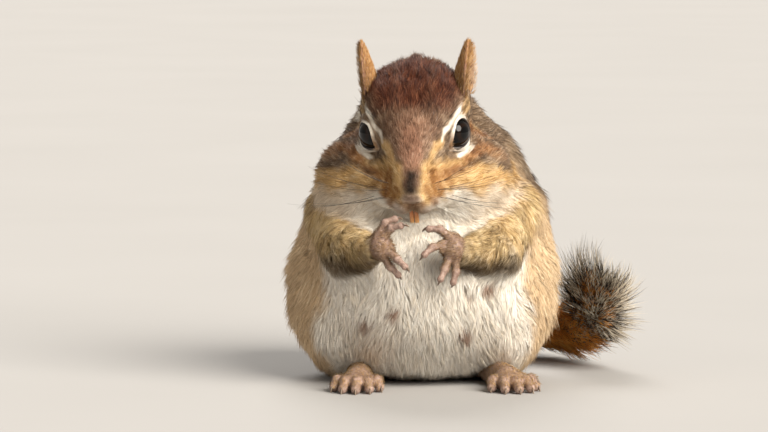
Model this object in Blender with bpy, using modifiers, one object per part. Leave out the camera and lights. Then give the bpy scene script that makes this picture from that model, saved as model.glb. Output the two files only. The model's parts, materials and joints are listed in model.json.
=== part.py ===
"""An eastern chipmunk sitting up on its haunches, life size, as a still museum model.

The flesh with its coat is one smooth form, blended from named rounded masses, and is then parted
with thin cuts into head, neck, torso, forelegs and thighs. Ears, eyes, teeth, paws, feet and tail
are made on their own and meet it face to face. The animal looks along -Y, +Z is up, and its left
is +X. The origin lies on the floor, on the flat that the rump sits on.

Lengths in this file are millimetres. Meshes are written in metres.
"""

import math
import random

import bmesh
import bpy
import numpy as np
from mathutils import Euler, Matrix, Vector

METRES = 0.001
GAP = 0.3  # between two neighbouring parts
HALF_GAP = GAP / 2
WORLD = Matrix.Identity(4)


def frame_at(place, turn, base=WORLD):
    """A frame at a place, turned by degrees about its X, Y and Z, inside another frame."""
    spin = Euler([math.radians(angle) for angle in turn], "XYZ").to_matrix().to_4x4()
    return base @ Matrix.Translation(place) @ spin


# Head frame: its origin is midway between the eyes, -Y runs to the nose and +X to the left ear.
HEAD = frame_at((-1.9, -20, 64.5), (33, -1, -5))

# Driving sizes of the animal with its coat
EYE_RADIUS = 4.4
EYE_PLACE = (9.4, -1.0, 0.8)
EYE_AXIS = (0.81, -0.47, 0.32)  # the way the left eye looks
LID = 0.95  # lid thickness over the eyeball
EAR_ROOT = (11.4, 10.0, 4.0)
EAR_TIP = (13.6, 16.0, 16.6)
EAR_WIDTH = 11.0
EAR_WALL = 0.8
TOOTH_ROOT = (0, -16.2, -10.6)
TOOTH_LENGTH = 6.1
TOOTH_WIDTH = 1.1
SHOULDER, ELBOW = (22, -5, 44), (18.5, -21.5, 35.2)
LEFT_WRIST, RIGHT_WRIST = (10.3, -32.0, 35.3), (-13.2, -32.0, 36.0)
FINGER_BONES = (2.6, 3.4, 2.6)
CLAW_LENGTH = 2.3
# Fingers from top to bottom: first and last bone's angle above the midline, and lean forward
LEFT_FINGERS = ((75, 5, 0.1), (20, -40, 0.5), (-70, -66, 0.4), (-105, -78, 0.1))
RIGHT_FINGERS = ((100, 25, 0.1), (75, 20, 0.5), (-38, -42, 0.5), (-75, -45, 0.1))
LEFT_HEEL, LEFT_SPLAY = (17.5, -6, 0), 14
RIGHT_HEEL, RIGHT_SPLAY = (-15.5, -6, 0), -2
# Toes from the inner one: place across the ball of the foot, splay in degrees and length
TOES = ((-3.9, -24, 4.2), (-2.1, -9, 6.6), (0.1, 1, 7.2), (2.3, 11, 6.6), (4.0, 26, 4.4))
TAIL_BEND = ((4, 32, 10), (13, 44, 8.5), (27, 46, 8), (37, 38, 8.5), (42, 28, 10.5), (45, 20, 14), (46.5, 15, 19))
# The way the tail's upper side faces at its root, in its middle and at its tip
TAIL_BACKS = ((0, 0, 1), (0.45, 0.55, 0.7), (0.25, 0.95, 0.2))
TAIL_LENGTH = 80.0
TAIL_PARTS = (("tail_base", 0.0, 0.33), ("tail_middle", 0.33, 0.66), ("tail_end", 0.66, 1.0))
LOCK_LENGTH = 14.5
LOCK_STEP = 8.5
LOCKS_AROUND = 7
FLESH_TRIANGLES = 2700
COLOURS = {
    "head": ((0.33, 0.19, 0.10), 0.85),
    "neck": ((0.30, 0.18, 0.10), 0.85),
    "torso": ((0.62, 0.50, 0.36), 0.85),
    "foreleg": ((0.50, 0.38, 0.20), 0.85),
    "thigh": ((0.52, 0.33, 0.17), 0.85),
    "ear": ((0.50, 0.28, 0.14), 0.8),
    "eye": ((0.01, 0.008, 0.006), 0.08),
    "incisors": ((0.62, 0.25, 0.07), 0.35),
    "forepaw": ((0.36, 0.27, 0.22), 0.7),
    "hind": ((0.36, 0.27, 0.20), 0.7),
    "tail": ((0.30, 0.15, 0.06), 0.85),
}

# Rounded masses: the base of everything that is flesh


class Ball:
    """An ellipsoid with its centre and three radii, turned by degrees in a frame."""

    def __init__(self, centre, radii, turn=(0, 0, 0), frame=WORLD, blend=6.0):
        self.frame = frame_at(centre, turn, frame)
        self.radii = np.array([radii] * 3 if np.isscalar(radii) else radii, float)
        self.blend = blend

    def distance(self, points):
        place = np.array(self.frame.translation)
        local = (points - place) @ np.array(self.frame.to_3x3())
        reach = np.linalg.norm(local / self.radii, axis=1)
        slope = np.linalg.norm(local / self.radii**2, axis=1)
        return reach * (reach - 1) / np.maximum(slope, 1e-9)

    def shell(self, grow=0.0, rounds=24):
        """The ellipsoid as a closed mesh, grown outwards by some millimetres."""
        shape = bmesh.new()
        bmesh.ops.create_uvsphere(shape, u_segments=rounds, v_segments=rounds // 2, radius=1)
        stretch = Matrix.Diagonal((*(self.radii + grow), 1))
        bmesh.ops.transform(shape, matrix=self.frame @ stretch, verts=shape.verts)
        return shape


class Limb:
    """A taper with a round end at each of two joints."""

    def __init__(self, start, end, start_radius, end_radius, frame=WORLD, blend=4.0):
        self.start = frame @ Vector(start)
        self.end = frame @ Vector(end)
        self.start_radius = start_radius
        self.end_radius = end_radius
        self.blend = blend

    def distance(self, points):
        along = np.array(self.end - self.start)
        offset = points - np.array(self.start)
        share = np.clip(offset @ along / (along @ along), 0, 1)
        gap = np.linalg.norm(offset - share[:, None] * along, axis=1)
        return gap - self.start_radius - share * (self.end_radius - self.start_radius)

    def shell(self, grow=0.0, rounds=12):
        """The limb as a closed mesh: a sphere whose two halves stay at the two joints."""
        shape = bmesh.new()
        bmesh.ops.create_uvsphere(shape, u_segments=rounds, v_segments=rounds // 2 + 1, radius=1)
        along = self.end - self.start
        for point in shape.verts:
            ahead = point.co.z > 0
            radius = (self.end_radius if ahead else self.start_radius) + grow
            point.co = point.co * radius + Vector((0, 0, along.length if ahead else 0))
        turn = along.to_track_quat("Z", "Y").to_matrix().to_4x4()
        place = Matrix.Translation(self.start) @ turn
        bmesh.ops.transform(shape, matrix=place, verts=shape.verts)
        return shape


def mirrored(make):
    """The two copies of a paired mass: make is called with +1 for the left and -1 for the right."""
    return [make(side) for side in (1, -1)]


# Objects, Boolean cuts and clean-up


def collection_for(name, hidden=False):
    found = bpy.data.collections.new(name)
    bpy.context.scene.collection.children.link(found)
    found.hide_render = hidden
    return found


def object_from(shape, name, home):
    """An object from a bmesh, which is freed."""
    bmesh.ops.recalc_face_normals(shape, faces=shape.faces)
    mesh = bpy.data.meshes.new(name)
    shape.to_mesh(mesh)
    shape.free()
    made = bpy.data.objects.new(name, mesh)
    home.objects.link(made)
    return made


def apply_modifiers(thing):
    """Replaces the object's mesh with the one that its modifiers make."""
    graph = bpy.context.evaluated_depsgraph_get()
    finished = bpy.data.meshes.new_from_object(thing.evaluated_get(graph))
    thing.modifiers.clear()
    old, thing.data = thing.data, finished
    bpy.data.meshes.remove(old)


def remove(things):
    for thing in list(things):
        mesh = thing.data
        bpy.data.objects.remove(thing)
        bpy.data.meshes.remove(mesh)


def combine(thing, shapes, operation, solver="MANIFOLD"):
    """Cuts, joins or keeps by closed bmeshes, all of them in one Boolean."""
    helpers = collection_for("cutters", hidden=True)
    for number, shape in enumerate(shapes):
        object_from(shape, f"cutter_{number}", helpers)
    change = thing.modifiers.new("combine", "BOOLEAN")
    change.operand_type = "COLLECTION"
    change.collection = helpers
    change.operation = operation
    change.solver = solver
    apply_modifiers(thing)
    remove(helpers.objects)
    bpy.data.collections.remove(helpers)


def keep_largest(thing):
    """Keeps the largest closed surface and drops loose scraps."""
    shape = bmesh.new()
    shape.from_mesh(thing.data)
    bmesh.ops.remove_doubles(shape, verts=shape.verts, dist=1e-6)
    left = set(shape.faces)
    pieces = []
    while left:
        stack = [left.pop()]
        piece = set(stack)
        while stack:
            for edge in stack.pop().edges:
                for face in edge.link_faces:
                    if face in left:
                        left.remove(face)
                        piece.add(face)
                        stack.append(face)
        pieces.append(piece)
    pieces.sort(key=lambda piece: sum(face.calc_area() for face in piece))
    scraps = [face for piece in pieces[:-1] for face in piece]
    bmesh.ops.delete(shape, geom=scraps, context="FACES")
    bmesh.ops.delete(shape, geom=[v for v in shape.verts if not v.link_faces], context="VERTS")
    shape.to_mesh(thing.data)
    shape.free()


def thin_out(thing, triangles):
    """Brings a dense mesh down to about this many triangles, fewest where it is flat."""
    thing.data.calc_loop_triangles()
    change = thing.modifiers.new("thin out", "DECIMATE")
    change.ratio = min(1.0, triangles / len(thing.data.loop_triangles))
    change.use_collapse_triangulate = True
    apply_modifiers(thing)


def finish(thing, colour, roughness=0.85):
    """Shades the part smooth and gives it its own material."""
    thing.data.shade_smooth()
    thing.data.set_sharp_from_angle(angle=math.radians(50))
    coat = bpy.data.materials.new(thing.name)
    coat.use_nodes = True
    surface = coat.node_tree.nodes["Principled BSDF"]
    surface.inputs["Base Color"].default_value = (*colour, 1)
    surface.inputs["Roughness"].default_value = roughness
    thing.data.materials.clear()
    thing.data.materials.append(coat)
    return thing


# Blending: masses become one smooth surface


def blended_distance(points, forms):
    """Signed distance to the masses, each run smoothly into those before it."""
    total = forms[0].distance(points)
    for form in forms[1:]:
        other = form.distance(points)
        share = np.clip(form.blend - np.abs(total - other), 0, None) / form.blend
        total = np.minimum(total, other) - share**2 * form.blend / 4
    return total


def settle(points, forms, rounds):
    """Moves points straight onto the blended surface."""
    step = 0.05
    for _ in range(rounds):
        here = blended_distance(points, forms)
        slope = np.empty_like(points)
        for axis in range(3):
            ahead = points.copy()
            ahead[:, axis] += step
            slope[:, axis] = (blended_distance(ahead, forms) - here) / step
        size = np.maximum((slope**2).sum(axis=1), 0.05)
        move = -(here / size)[:, None] * slope
        length = np.linalg.norm(move, axis=1, keepdims=True)
        points = points + move * np.minimum(1, 1.0 / np.maximum(length, 1e-9))
    return points


def evened(points, edges, rounds):
    """Slides each point towards the middle of its neighbours."""
    for _ in range(rounds):
        total = np.zeros_like(points)
        count = np.zeros(len(points))
        for start, end in (edges.T, edges.T[::-1]):
            np.add.at(total, start, points[end])
            np.add.at(count, start, 1)
        points = 0.5 * points + 0.5 * total / count[:, None]
    return points


def fused(name, forms, home, voxel):
    """One closed surface round all the masses, with every crease between them blended."""
    shape = bmesh.new()
    for form in forms:
        piece = form.shell()
        spare = bpy.data.meshes.new("mass")
        piece.to_mesh(spare)
        piece.free()
        shape.from_mesh(spare)
        bpy.data.meshes.remove(spare)
    thing = object_from(shape, name, home)
    grid = thing.modifiers.new("grid", "REMESH")
    grid.mode = "VOXEL"
    grid.voxel_size = voxel
    apply_modifiers(thing)
    mesh = thing.data
    points = np.empty(len(mesh.vertices) * 3)
    mesh.vertices.foreach_get("co", points)
    edges = np.empty(len(mesh.edges) * 2, int)
    mesh.edges.foreach_get("vertices", edges)
    points, edges = points.reshape(-1, 3), edges.reshape(-1, 2)
    for _ in range(2):
        points = settle(evened(points, edges, 3), forms, 2)
    points = settle(points, forms, 2)
    mesh.vertices.foreach_set("co", points.ravel())
    mesh.update()
    return thing


# Lofts: rings of points become one closed surface


def loft(rings, tip=None):
    """A closed surface through rings of equal length, with a flat root and a flat or pointed end."""
    shape = bmesh.new()
    loops = [[shape.verts.new(point) for point in ring] for ring in rings]
    count = len(loops[0])
    for low, high in zip(loops, loops[1:]):
        for k in range(count):
            after = (k + 1) % count
            shape.faces.new((low[k], low[after], high[after], high[k]))
    shape.faces.new(loops[0][::-1])
    if tip is None:
        shape.faces.new(loops[-1])
    else:
        point = shape.verts.new(tip)
        for k in range(count):
            shape.faces.new((loops[-1][k], loops[-1][(k + 1) % count], point))
    bmesh.ops.recalc_face_normals(shape, faces=shape.faces)
    bmesh.ops.triangulate(shape, faces=shape.faces)
    return shape


def claw(root, ahead, down, length, radius, sides=4):
    """A horn claw that leaves the toe along its line and curves down to a point."""
    ahead, down = Vector(ahead).normalized(), Vector(down).normalized()
    across = ahead.cross(down).normalized()
    rings = []
    for share, taper in ((0.0, 1.0), (0.35, 0.85), (0.7, 0.5)):
        bend = math.radians(55) * share
        middle = Vector(root) + length * share * (ahead * math.cos(bend) + down * math.sin(bend))
        face = down * math.cos(bend) - ahead * math.sin(bend)
        rings.append([
            middle + radius * taper * (
                0.7 * across * math.cos(turn) + face * math.sin(turn)
            )
            for turn in (2 * math.pi * k / sides for k in range(sides))
        ])
    bend = math.radians(50)
    return loft(rings, Vector(root) + length * (ahead * math.cos(bend) + down * math.sin(bend)))


# Head, neck and trunk


def head_masses():
    """Braincase, brow, muzzle, nose, lips, jaw and the two full cheek pouches."""
    def ball(centre, radii, turn=(0, 0, 0), blend=5.0):
        return Ball(centre, radii, turn, HEAD, blend)

    masses = [
        ball((0, 10, 0), (13.0, 15.5, 12.5)),
        ball((0, -1, 1.0), (9.3, 12, 8.5)),
        ball((0, -8.0, -3.6), (7.0, 10.6, 6.6), (8, 0, 0)),
        ball((0, -14.0, -6.2), (4.7, 5.2, 4.5), blend=3),
        ball((0, -6.6, -13.4), (5.6, 7.5, 4.2), blend=2.5),
        ball((0, 6, -14), (12, 14, 10)),
    ]
    masses += mirrored(lambda side: ball((side * 5.8, 6, 3.4), (7.6, 11, 8.4), blend=4))
    masses += mirrored(lambda side: ball((side * 4.0, -12.6, -8.4), (4.6, 5.6, 4.4), blend=2))
    masses += mirrored(lambda side: ball((side * 8.4, 3.0, -6.2), (5.2, 9.5, 7.0), blend=4))
    masses += mirrored(lambda side: ball((side * 8.6, -4.6, -9.6), (7.4, 8.6, 7.2), blend=6))
    masses += mirrored(lambda side: ball((side * 13.0 - 1.2, 1.5, -15.6), (12.2, 13.3, 11.6), blend=5))
    masses += mirrored(lambda side: Ball(eye_place(side), EYE_RADIUS + LID, (0, 0, 0), HEAD, 1.6))
    return masses


def trunk_masses():
    """Nape, shoulders, chest, belly, back, rump and the two haunches."""
    masses = [
        Ball((-1, 3, 64), (16, 16, 14), blend=8),
        Ball((1.5, 9, 52), (26.5, 20, 19), blend=10),
        Ball((1.5, -3, 41), (25.5, 19, 19), blend=8),
        Ball((1.5, 15, 37), (30.5, 24.5, 25), blend=10),
        Ball((0.5, -1, 25), (31.8, 29, 25), blend=10),
        Ball((0, 14, 21), (28, 25, 22.5), blend=8),
    ]
    masses += mirrored(lambda side: Ball((side * 20.5, 3, 19), (13.2, 21, 18), (15, 0, 0), blend=7))
    return masses


def eye_place(side):
    return (side * EYE_PLACE[0], *EYE_PLACE[1:])


def foreleg_joints(side):
    """Shoulder, elbow and wrist of one side."""
    wrist = LEFT_WRIST if side > 0 else RIGHT_WRIST
    return (side * SHOULDER[0], *SHOULDER[1:]), (side * ELBOW[0], *ELBOW[1:]), wrist


def foreleg_masses(side, grow=0.0):
    """Upper arm and forearm of one side, folded in front of the chest."""
    shoulder, elbow, wrist = foreleg_joints(side)
    return [
        Limb(shoulder, elbow, 6.8 + grow, 6.0 + grow, blend=6),
        Limb(elbow, wrist, 6.0 + grow, 3.3 + grow, blend=3),
    ]


def lid_line(side, count=24):
    """Directions from the eye's centre to its lids: an almond with its sharp corner to the nose."""
    outward = Vector((side * EYE_AXIS[0], *EYE_AXIS[1:])).normalized()
    ahead = (Vector((0, -0.8, -0.6)) - outward * outward.dot(Vector((0, -0.8, -0.6)))).normalized()
    above = ahead.cross(outward) * side
    found = []
    for k in range(count):
        turn = 2 * math.pi * k / count
        corner = max(0.0, math.cos(turn)) ** 6
        spread = math.radians(59 + 14 * corner - 5 * abs(math.sin(turn)))
        level = ahead * math.cos(turn) + above * math.sin(turn)
        found.append(outward * math.cos(spread) + level * math.sin(spread))
    return found


def eye_opening(side):
    """What opens the lids: from the eye's centre to the lid line, and then flaring outwards."""
    centre = Vector(eye_place(side))
    outward = sum(lid_line(side), Vector()).normalized()
    rings = []
    for reach, ahead in ((0.6, 0.0), (EYE_RADIUS + 0.2, 0.0), (EYE_RADIUS + 2.6, 4.0)):
        rings.append([HEAD @ (centre + reach * way + outward * ahead) for way in lid_line(side)])
    return loft(rings)


def teeth_shape(grow=0.0):
    """Two upper incisors side by side, joined at the root in the gum."""
    made = []
    for side in (1, -1):
        rings = []
        for share in (0.0, 0.35, 0.7, 1.0):
            bend = math.radians(24) * share
            middle = Vector((
                side * (TOOTH_WIDTH / 2 + 0.02),
                TOOTH_ROOT[1] + 1.6 * math.sin(bend),
                TOOTH_ROOT[2] - TOOTH_LENGTH * share,
            ))
            half = TOOTH_WIDTH / 2 * (1 - 0.12 * share) + grow
            deep = 0.62 * (1 - 0.55 * share**2) + grow
            rings.append([
                HEAD @ (middle + Vector((half * x, deep * y, 0)))
                for x, y in ((1, 1), (-1, 1), (-1, -1), (1, -1))
            ])
        made.append(rings)
    return made


def incisors(home):
    left, right = teeth_shape()
    thing = object_from(loft(left), "incisors", home)
    bar = bmesh.new()
    bmesh.ops.create_cube(bar, size=1)
    stretch = Matrix.Diagonal((TOOTH_WIDTH * 1.2, 1.0, 1.6, 1))
    place = HEAD @ Matrix.Translation((0, TOOTH_ROOT[1], TOOTH_ROOT[2] - 0.9)) @ stretch
    bmesh.ops.transform(bar, matrix=place, verts=bar.verts)
    combine(thing, [loft(right), bar], "UNION", "EXACT")
    return thing


def carve_face(head):
    """Opens the lids and sockets, the mouth, the nostrils and the groove of the upper lip."""
    cuts = []
    for side in (1, -1):
        cuts.append(Ball(eye_place(side), EYE_RADIUS + GAP, (0, 0, 0), HEAD).shell(0, 20))
        cuts.append(eye_opening(side))
        cuts.append(Ball((side * 2.3, -18.3, -6.9), (0.6, 1.4, 0.85), (0, 0, side * 35), HEAD).shell(0, 10))
        cuts.append(Limb((side * 1.8, -15.2, -12.6), (side * 6.6, -9.5, -12.0), 0.55, 0.35, HEAD).shell(0, 8))
    cuts.append(Ball((0, -14.8, -12.6), (3.4, 3.8, 1.2), (0, 0, 0), HEAD).shell(0, 16))
    cuts.append(Limb((0, -19.4, -8.2), (0, -17.6, -12.6), 0.3, 0.3, HEAD).shell(0, 8))
    cuts += [loft(rings) for rings in teeth_shape(GAP)]
    combine(head, cuts, "DIFFERENCE")


# Ears


def ear(side, body, home):
    """A thin upright cup of skin that opens sideways, curled in at its root, with a blunt tip."""
    rows, columns = 10, 9
    root = HEAD @ Vector((side * EAR_ROOT[0], *EAR_ROOT[1:]))
    tip = HEAD @ Vector((side * EAR_TIP[0], *EAR_TIP[1:]))
    lengthwise = (tip - root).normalized()
    outward = HEAD.to_3x3() @ Vector((side * 0.99, -0.16, 0.0))
    outward = (outward - lengthwise * outward.dot(lengthwise)).normalized()
    across = lengthwise.cross(outward)
    reach = (tip - root).length
    shape = bmesh.new()
    grid = []
    for row in range(rows):
        height = row / (rows - 1)
        over = max(0.0, (height - 0.35) / 0.65)
        half = EAR_WIDTH / 2 * (0.82 + 0.18 * min(1, height / 0.35)) * (1 - over**2.0) ** 0.6
        half = max(half, 0.5)
        roll = math.radians(86 - 48 * height**0.7)
        radius = half / math.sin(roll)
        line = []
        for column in range(columns):
            turn = roll * (2 * column / (columns - 1) - 1)
            inward = radius * (math.cos(turn) - 0.5 - 0.5 * math.cos(roll))
            place = (
                root + lengthwise * reach * (height * 1.2 - 0.2)
                + across * radius * math.sin(turn) - outward * inward
            )
            line.append(shape.verts.new(place))
        grid.append(line)
    for low, high in zip(grid, grid[1:]):
        for k in range(columns - 1):
            shape.faces.new((low[k], low[k + 1], high[k + 1], high[k]))
    thing = object_from(shape, "ear_left" if side > 0 else "ear_right", home)
    wall = thing.modifiers.new("wall", "SOLIDIFY")
    wall.thickness = EAR_WALL
    wall.offset = 0
    wall.use_even_offset = True
    apply_modifiers(thing)
    combine(thing, [body], "DIFFERENCE")
    keep_largest(thing)
    return thing


# Paws and feet


def toe_masses(points, radii, blend=0.8):
    """The bones of one toe or finger, joint by joint, as short limbs."""
    return [
        Limb(start, end, low, high, blend=blend)
        for start, end, low, high in zip(points, points[1:], radii, radii[1:])
    ]


def paw_points(side):
    """For each finger of a forepaw: knuckle, two joints and tip. Angles run up from the midline."""
    wrist = Vector(LEFT_WRIST if side > 0 else RIGHT_WRIST)
    palm = wrist + Vector((-side * 2.8, -1.8, 1.6))
    angles = LEFT_FINGERS if side > 0 else RIGHT_FINGERS
    for number, (first, second, forward) in enumerate(angles):
        points = []
        place = palm.copy()
        turns = (first, (first + second) / 2, second)
        for turn, length in zip(turns, FINGER_BONES):
            way = Vector((
                -side * math.cos(math.radians(turn)), -forward, math.sin(math.radians(turn))
            ))
            points.append(place + Vector((0, 0, 0)))
            place = place + way.normalized() * length
        points.append(place)
        yield points


def forepaw(side, home):
    """A small hand with four fingers and a thumb stub, cupped as if round a nut."""
    wrist = Vector(LEFT_WRIST if side > 0 else RIGHT_WRIST)
    elbow = Vector((side * ELBOW[0], *ELBOW[1:]))
    palm = wrist + Vector((-side * 2.6, -1.6, 1.4))
    ahead = (wrist - elbow).normalized()
    forms = [
        Limb(wrist - ahead * 2, palm, 3.0, 2.6, blend=1.5),
        Ball(palm, (2.4, 2.7, 3.6), blend=1.5),
    ]
    claws = []
    for points in paw_points(side):
        forms += toe_masses(points, (1.15, 1.05, 0.95, 0.85))
        bone = points[-1] - points[-2]
        curl = Vector((-side * 0.3, 0.75, -0.6))
        claws.append(claw(points[-1] - bone * 0.05, bone, curl, CLAW_LENGTH, 0.5))
    thumb = palm + Vector((-side * 2.4, -1.6, -0.2))
    forms += toe_masses((palm, thumb), (1.2, 1.0))
    name = "forepaw_left" if side > 0 else "forepaw_right"
    thing = fused(name, forms, home, voxel=0.35)
    thin_out(thing, 480)
    combine(thing, [behind(wrist, ahead)], "DIFFERENCE")
    combine(thing, claws, "UNION")
    keep_largest(thing)
    return thing


def behind(place, ahead, size=20):
    """A block on the near side of a plane through a place."""
    shape = bmesh.new()
    bmesh.ops.create_cube(shape, size=size)
    turn = Vector(ahead).to_track_quat("Z", "Y").to_matrix().to_4x4()
    centre = Vector(place) - Vector(ahead).normalized() * (size / 2)
    bmesh.ops.transform(shape, matrix=Matrix.Translation(centre) @ turn, verts=shape.verts)
    return shape


def foot_frame(side):
    heel = LEFT_HEEL if side > 0 else RIGHT_HEEL
    splay = LEFT_SPLAY if side > 0 else RIGHT_SPLAY
    return frame_at(heel, (0, 0, splay))


def hind_foot_masses(side, grow=0.0):
    """Heel, instep, ball and five toes of one hind foot, and the place and way of each claw."""
    place = foot_frame(side)
    forms = [
        Limb((0, 0, 3.0), (0, -16, 2.6), 3.3 + grow, 3.3 + grow, place, blend=2),
        Ball((0, -19.5, 2.3), (4.9 + grow, 4.6 + grow, 2.6 + grow), (0, 0, 0), place, 2),
    ]
    claws = []
    for across, splay, length in TOES:
        turn = math.radians(splay)
        ahead = Vector((side * math.sin(turn), -math.cos(turn), 0))
        knuckle = Vector((side * across, -19.5 + 0.09 * across**2, 2.3))
        middle = knuckle + ahead * length * 0.55 + Vector((0, 0, 0.35))
        end = knuckle + ahead * length + Vector((0, 0, -0.95))
        forms += [
            Limb(knuckle, middle, 1.6 + grow, 1.35 + grow, place, blend=0.8),
            Limb(middle, end, 1.35 + grow, 1.15 + grow, place, blend=0.8),
        ]
        claws.append((place @ (end + Vector((0, 0, 0.15))), place.to_3x3() @ ahead))
    return forms, claws


def hind_foot(side, home):
    """A long hind foot flat on the floor, with five toes and their claws."""
    forms, claws = hind_foot_masses(side)
    name = "hind_foot_left" if side > 0 else "hind_foot_right"
    thing = fused(name, forms, home, voxel=0.45)
    thin_out(thing, 460)
    horn = [claw(root, ahead, (0, 0, -0.55), CLAW_LENGTH, 0.62) for root, ahead in claws]
    combine(thing, horn, "UNION")
    combine(thing, [floor_block()], "DIFFERENCE")
    keep_largest(thing)
    return thing


def floor_block():
    shape = bmesh.new()
    bmesh.ops.create_cube(shape, size=1)
    size = 200
    stretch = Matrix.Translation((0, 0, -size / 2)) @ Matrix.Diagonal((size, size, size, 1))
    bmesh.ops.transform(shape, matrix=stretch, verts=shape.verts)
    return shape


# Tail


def tail_course(count=60):
    """Points, directions and backs along the tail, from a smooth curve through TAIL_BEND."""
    knots = [Vector(point) for point in TAIL_BEND]
    knots = [2 * knots[0] - knots[1], *knots, 2 * knots[-1] - knots[-2]]
    points = []
    spans = len(knots) - 3
    for k in range(count):
        place = k / (count - 1) * spans
        span = min(int(place), spans - 1)
        t = place - span
        a, b, c, d = knots[span:span + 4]
        points.append(0.5 * (
            2 * b + (c - a) * t + (2 * a - 5 * b + 4 * c - d) * t**2 + (3 * b - a - 3 * c + d) * t**3
        ))
    return points


def tail_frames():
    """Stations along the tail: share of its length, place, direction and the way its back faces."""
    points = tail_course()
    lengths = [0.0]
    for a, b in zip(points, points[1:]):
        lengths.append(lengths[-1] + (b - a).length)
    total = lengths[-1]
    root_back, middle_back, tip_back = (Vector(back).normalized() for back in TAIL_BACKS)
    frames = []
    for k, point in enumerate(points):
        ahead = (points[min(k + 1, len(points) - 1)] - points[max(k - 1, 0)]).normalized()
        share = lengths[k] / total
        if share < 0.5:
            back = root_back.lerp(middle_back, share * 2)
        else:
            back = middle_back.lerp(tip_back, share * 2 - 1)
        back = (back - ahead * back.dot(ahead)).normalized()
        frames.append((share, point, ahead, back))
    return frames


def tail_at(frames, share):
    """The place, direction and back at a share of the tail's length, or straight on past its tip."""
    for low, high in zip(frames, frames[1:]):
        if share <= high[0]:
            part = (share - low[0]) / (high[0] - low[0])
            return [low[k].lerp(high[k], part) for k in (1, 2, 3)]
    _, place, ahead, back = frames[-1]
    return [place + ahead * (share - 1) * TAIL_LENGTH, ahead, back]


def tail_core_radius(share):
    """The dense underfur of the tail: fullest in its middle and narrow at the tip."""
    return 3.8 + 2.4 * share - 4.0 * share**2


def tail_sleeve(frames, low, high, radii, sides=10, steps=6):
    """A closed sleeve along the tail; radii gives its half width and half depth at a share."""
    rings = []
    for k in range(steps):
        share = low + (high - low) * k / (steps - 1)
        place, ahead, back = tail_at(frames, share)
        wide, deep = radii(share)
        side = ahead.cross(back)
        rings.append([
            place + side * wide * math.cos(turn) + back * deep * math.sin(turn)
            for turn in (2 * math.pi * m / sides for m in range(sides))
        ])
    return loft(rings)


def tail_core(frames, low, high, grow=0.0):
    def radii(share):
        radius = tail_core_radius(share)
        return radius * 1.15 + grow, radius * 0.9 + grow
    return tail_sleeve(frames, low, high, radii)


def tail_cone(frames, start, grow=0.0):
    """The room of one length of the tail: it widens to the tip, as the locks that overlie it do."""
    start = start - grow / TAIL_LENGTH

    def radii(share):
        away = (share - start) * TAIL_LENGTH
        radius = tail_core_radius(start)
        return min(radius * 1.15 + 0.5 * away, 13) + grow, min(radius * 0.9 + 0.16 * away, 9) + grow
    return tail_sleeve(frames, start, 1.3, radii, 16, 9)


def lock(root, ahead, out, length, width, thick, rise, bend):
    """A flat, tapered lock of hair that rises from its root and bends along the tail."""
    across = ahead.cross(out).normalized()
    rings = []
    place = Vector(root)
    last = 0.0
    for share, half in ((0.0, 0.42), (0.45, 0.5), (0.8, 0.3)):
        angle = math.radians(rise + bend * share)
        way = ahead * math.cos(angle) + out * math.sin(angle)
        place = place + way * length * (share - last)
        last = share
        deep = thick / 2 * (1 - 0.5 * share)
        over = out * math.cos(angle) - ahead * math.sin(angle)
        rings.append([
            place + across * half * width, place + over * deep,
            place - across * half * width, place - over * deep,
        ])
    angle = math.radians(rise + bend)
    way = ahead * math.cos(angle) + out * math.sin(angle)
    return loft(rings, place + way * length * (1 - last))


def tail_part(name, frames, low, high, body, home):
    """One length of the tail: its core with rings of locks that point to the tip."""
    dice = random.Random(name)
    locks = []
    rings = max(1, round((high - low) * TAIL_LENGTH / LOCK_STEP))
    for ring in range(rings):
        share = low + (high - low) * (ring + 0.35) / rings
        place, ahead, back = tail_at(frames, share)
        side = ahead.cross(back)
        for k in range(LOCKS_AROUND):
            turn = 2 * math.pi * (k + 0.5 * (ring % 2)) / LOCKS_AROUND
            out = side * math.cos(turn) + back * math.sin(turn)
            flat = abs(math.cos(turn))
            radius = tail_core_radius(share) * (0.9 + 0.25 * flat)
            length = LOCK_LENGTH * (0.55 + 0.45 * flat) * (0.85 + 0.2 * share) * dice.uniform(0.9, 1.1)
            rise = 16 + 30 * flat + dice.uniform(-3, 3)
            locks.append(lock(place + out * (radius - 1.4), ahead, out, length, 5.4, 1.6, rise, -12))
    if high >= 1.0:
        place, ahead, back = tail_at(frames, 1.0)
        side = ahead.cross(back)
        for k in range(LOCKS_AROUND):
            turn = 2 * math.pi * k / LOCKS_AROUND
            out = side * math.cos(turn) + back * math.sin(turn)
            rise = 6 + 14 * abs(math.cos(turn))
            locks.append(lock(place - ahead * 2, ahead, out, LOCK_LENGTH, 4.4, 1.3, rise, 4))
    thing = object_from(locks[0], name, home)
    combine(thing, locks[1:], "UNION")
    combine(thing, [body, floor_block()], "DIFFERENCE")
    combine(thing, [tail_core(frames, low, high)], "UNION")
    if low > 0:
        combine(thing, [tail_cone(frames, low)], "INTERSECT")
    if high < 1:
        combine(thing, [tail_cone(frames, high, GAP)], "DIFFERENCE")
    keep_largest(thing)
    return thing


# Parting the flesh


def joined(forms, grow, home):
    """The plain union of a few masses, as one closed bmesh."""
    thing = object_from(forms[0].shell(grow, 16), "joined", home)
    if len(forms) > 1:
        combine(thing, [form.shell(grow, 12) for form in forms[1:]], "UNION")
    shape = bmesh.new()
    shape.from_mesh(thing.data)
    remove([thing])
    return shape


def copy_of(source, name, home, grow=0.0):
    """A copy of an object, with its surface moved outwards by some millimetres."""
    made = bpy.data.objects.new(name, source.data.copy())
    home.objects.link(made)
    if grow:
        normals = [Vector(point.normal) for point in made.data.vertices]
        for point, normal in zip(made.data.vertices, normals):
            point.co += normal * grow
    return made


def shape_of(thing):
    shape = bmesh.new()
    shape.from_mesh(thing.data)
    return shape


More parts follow.
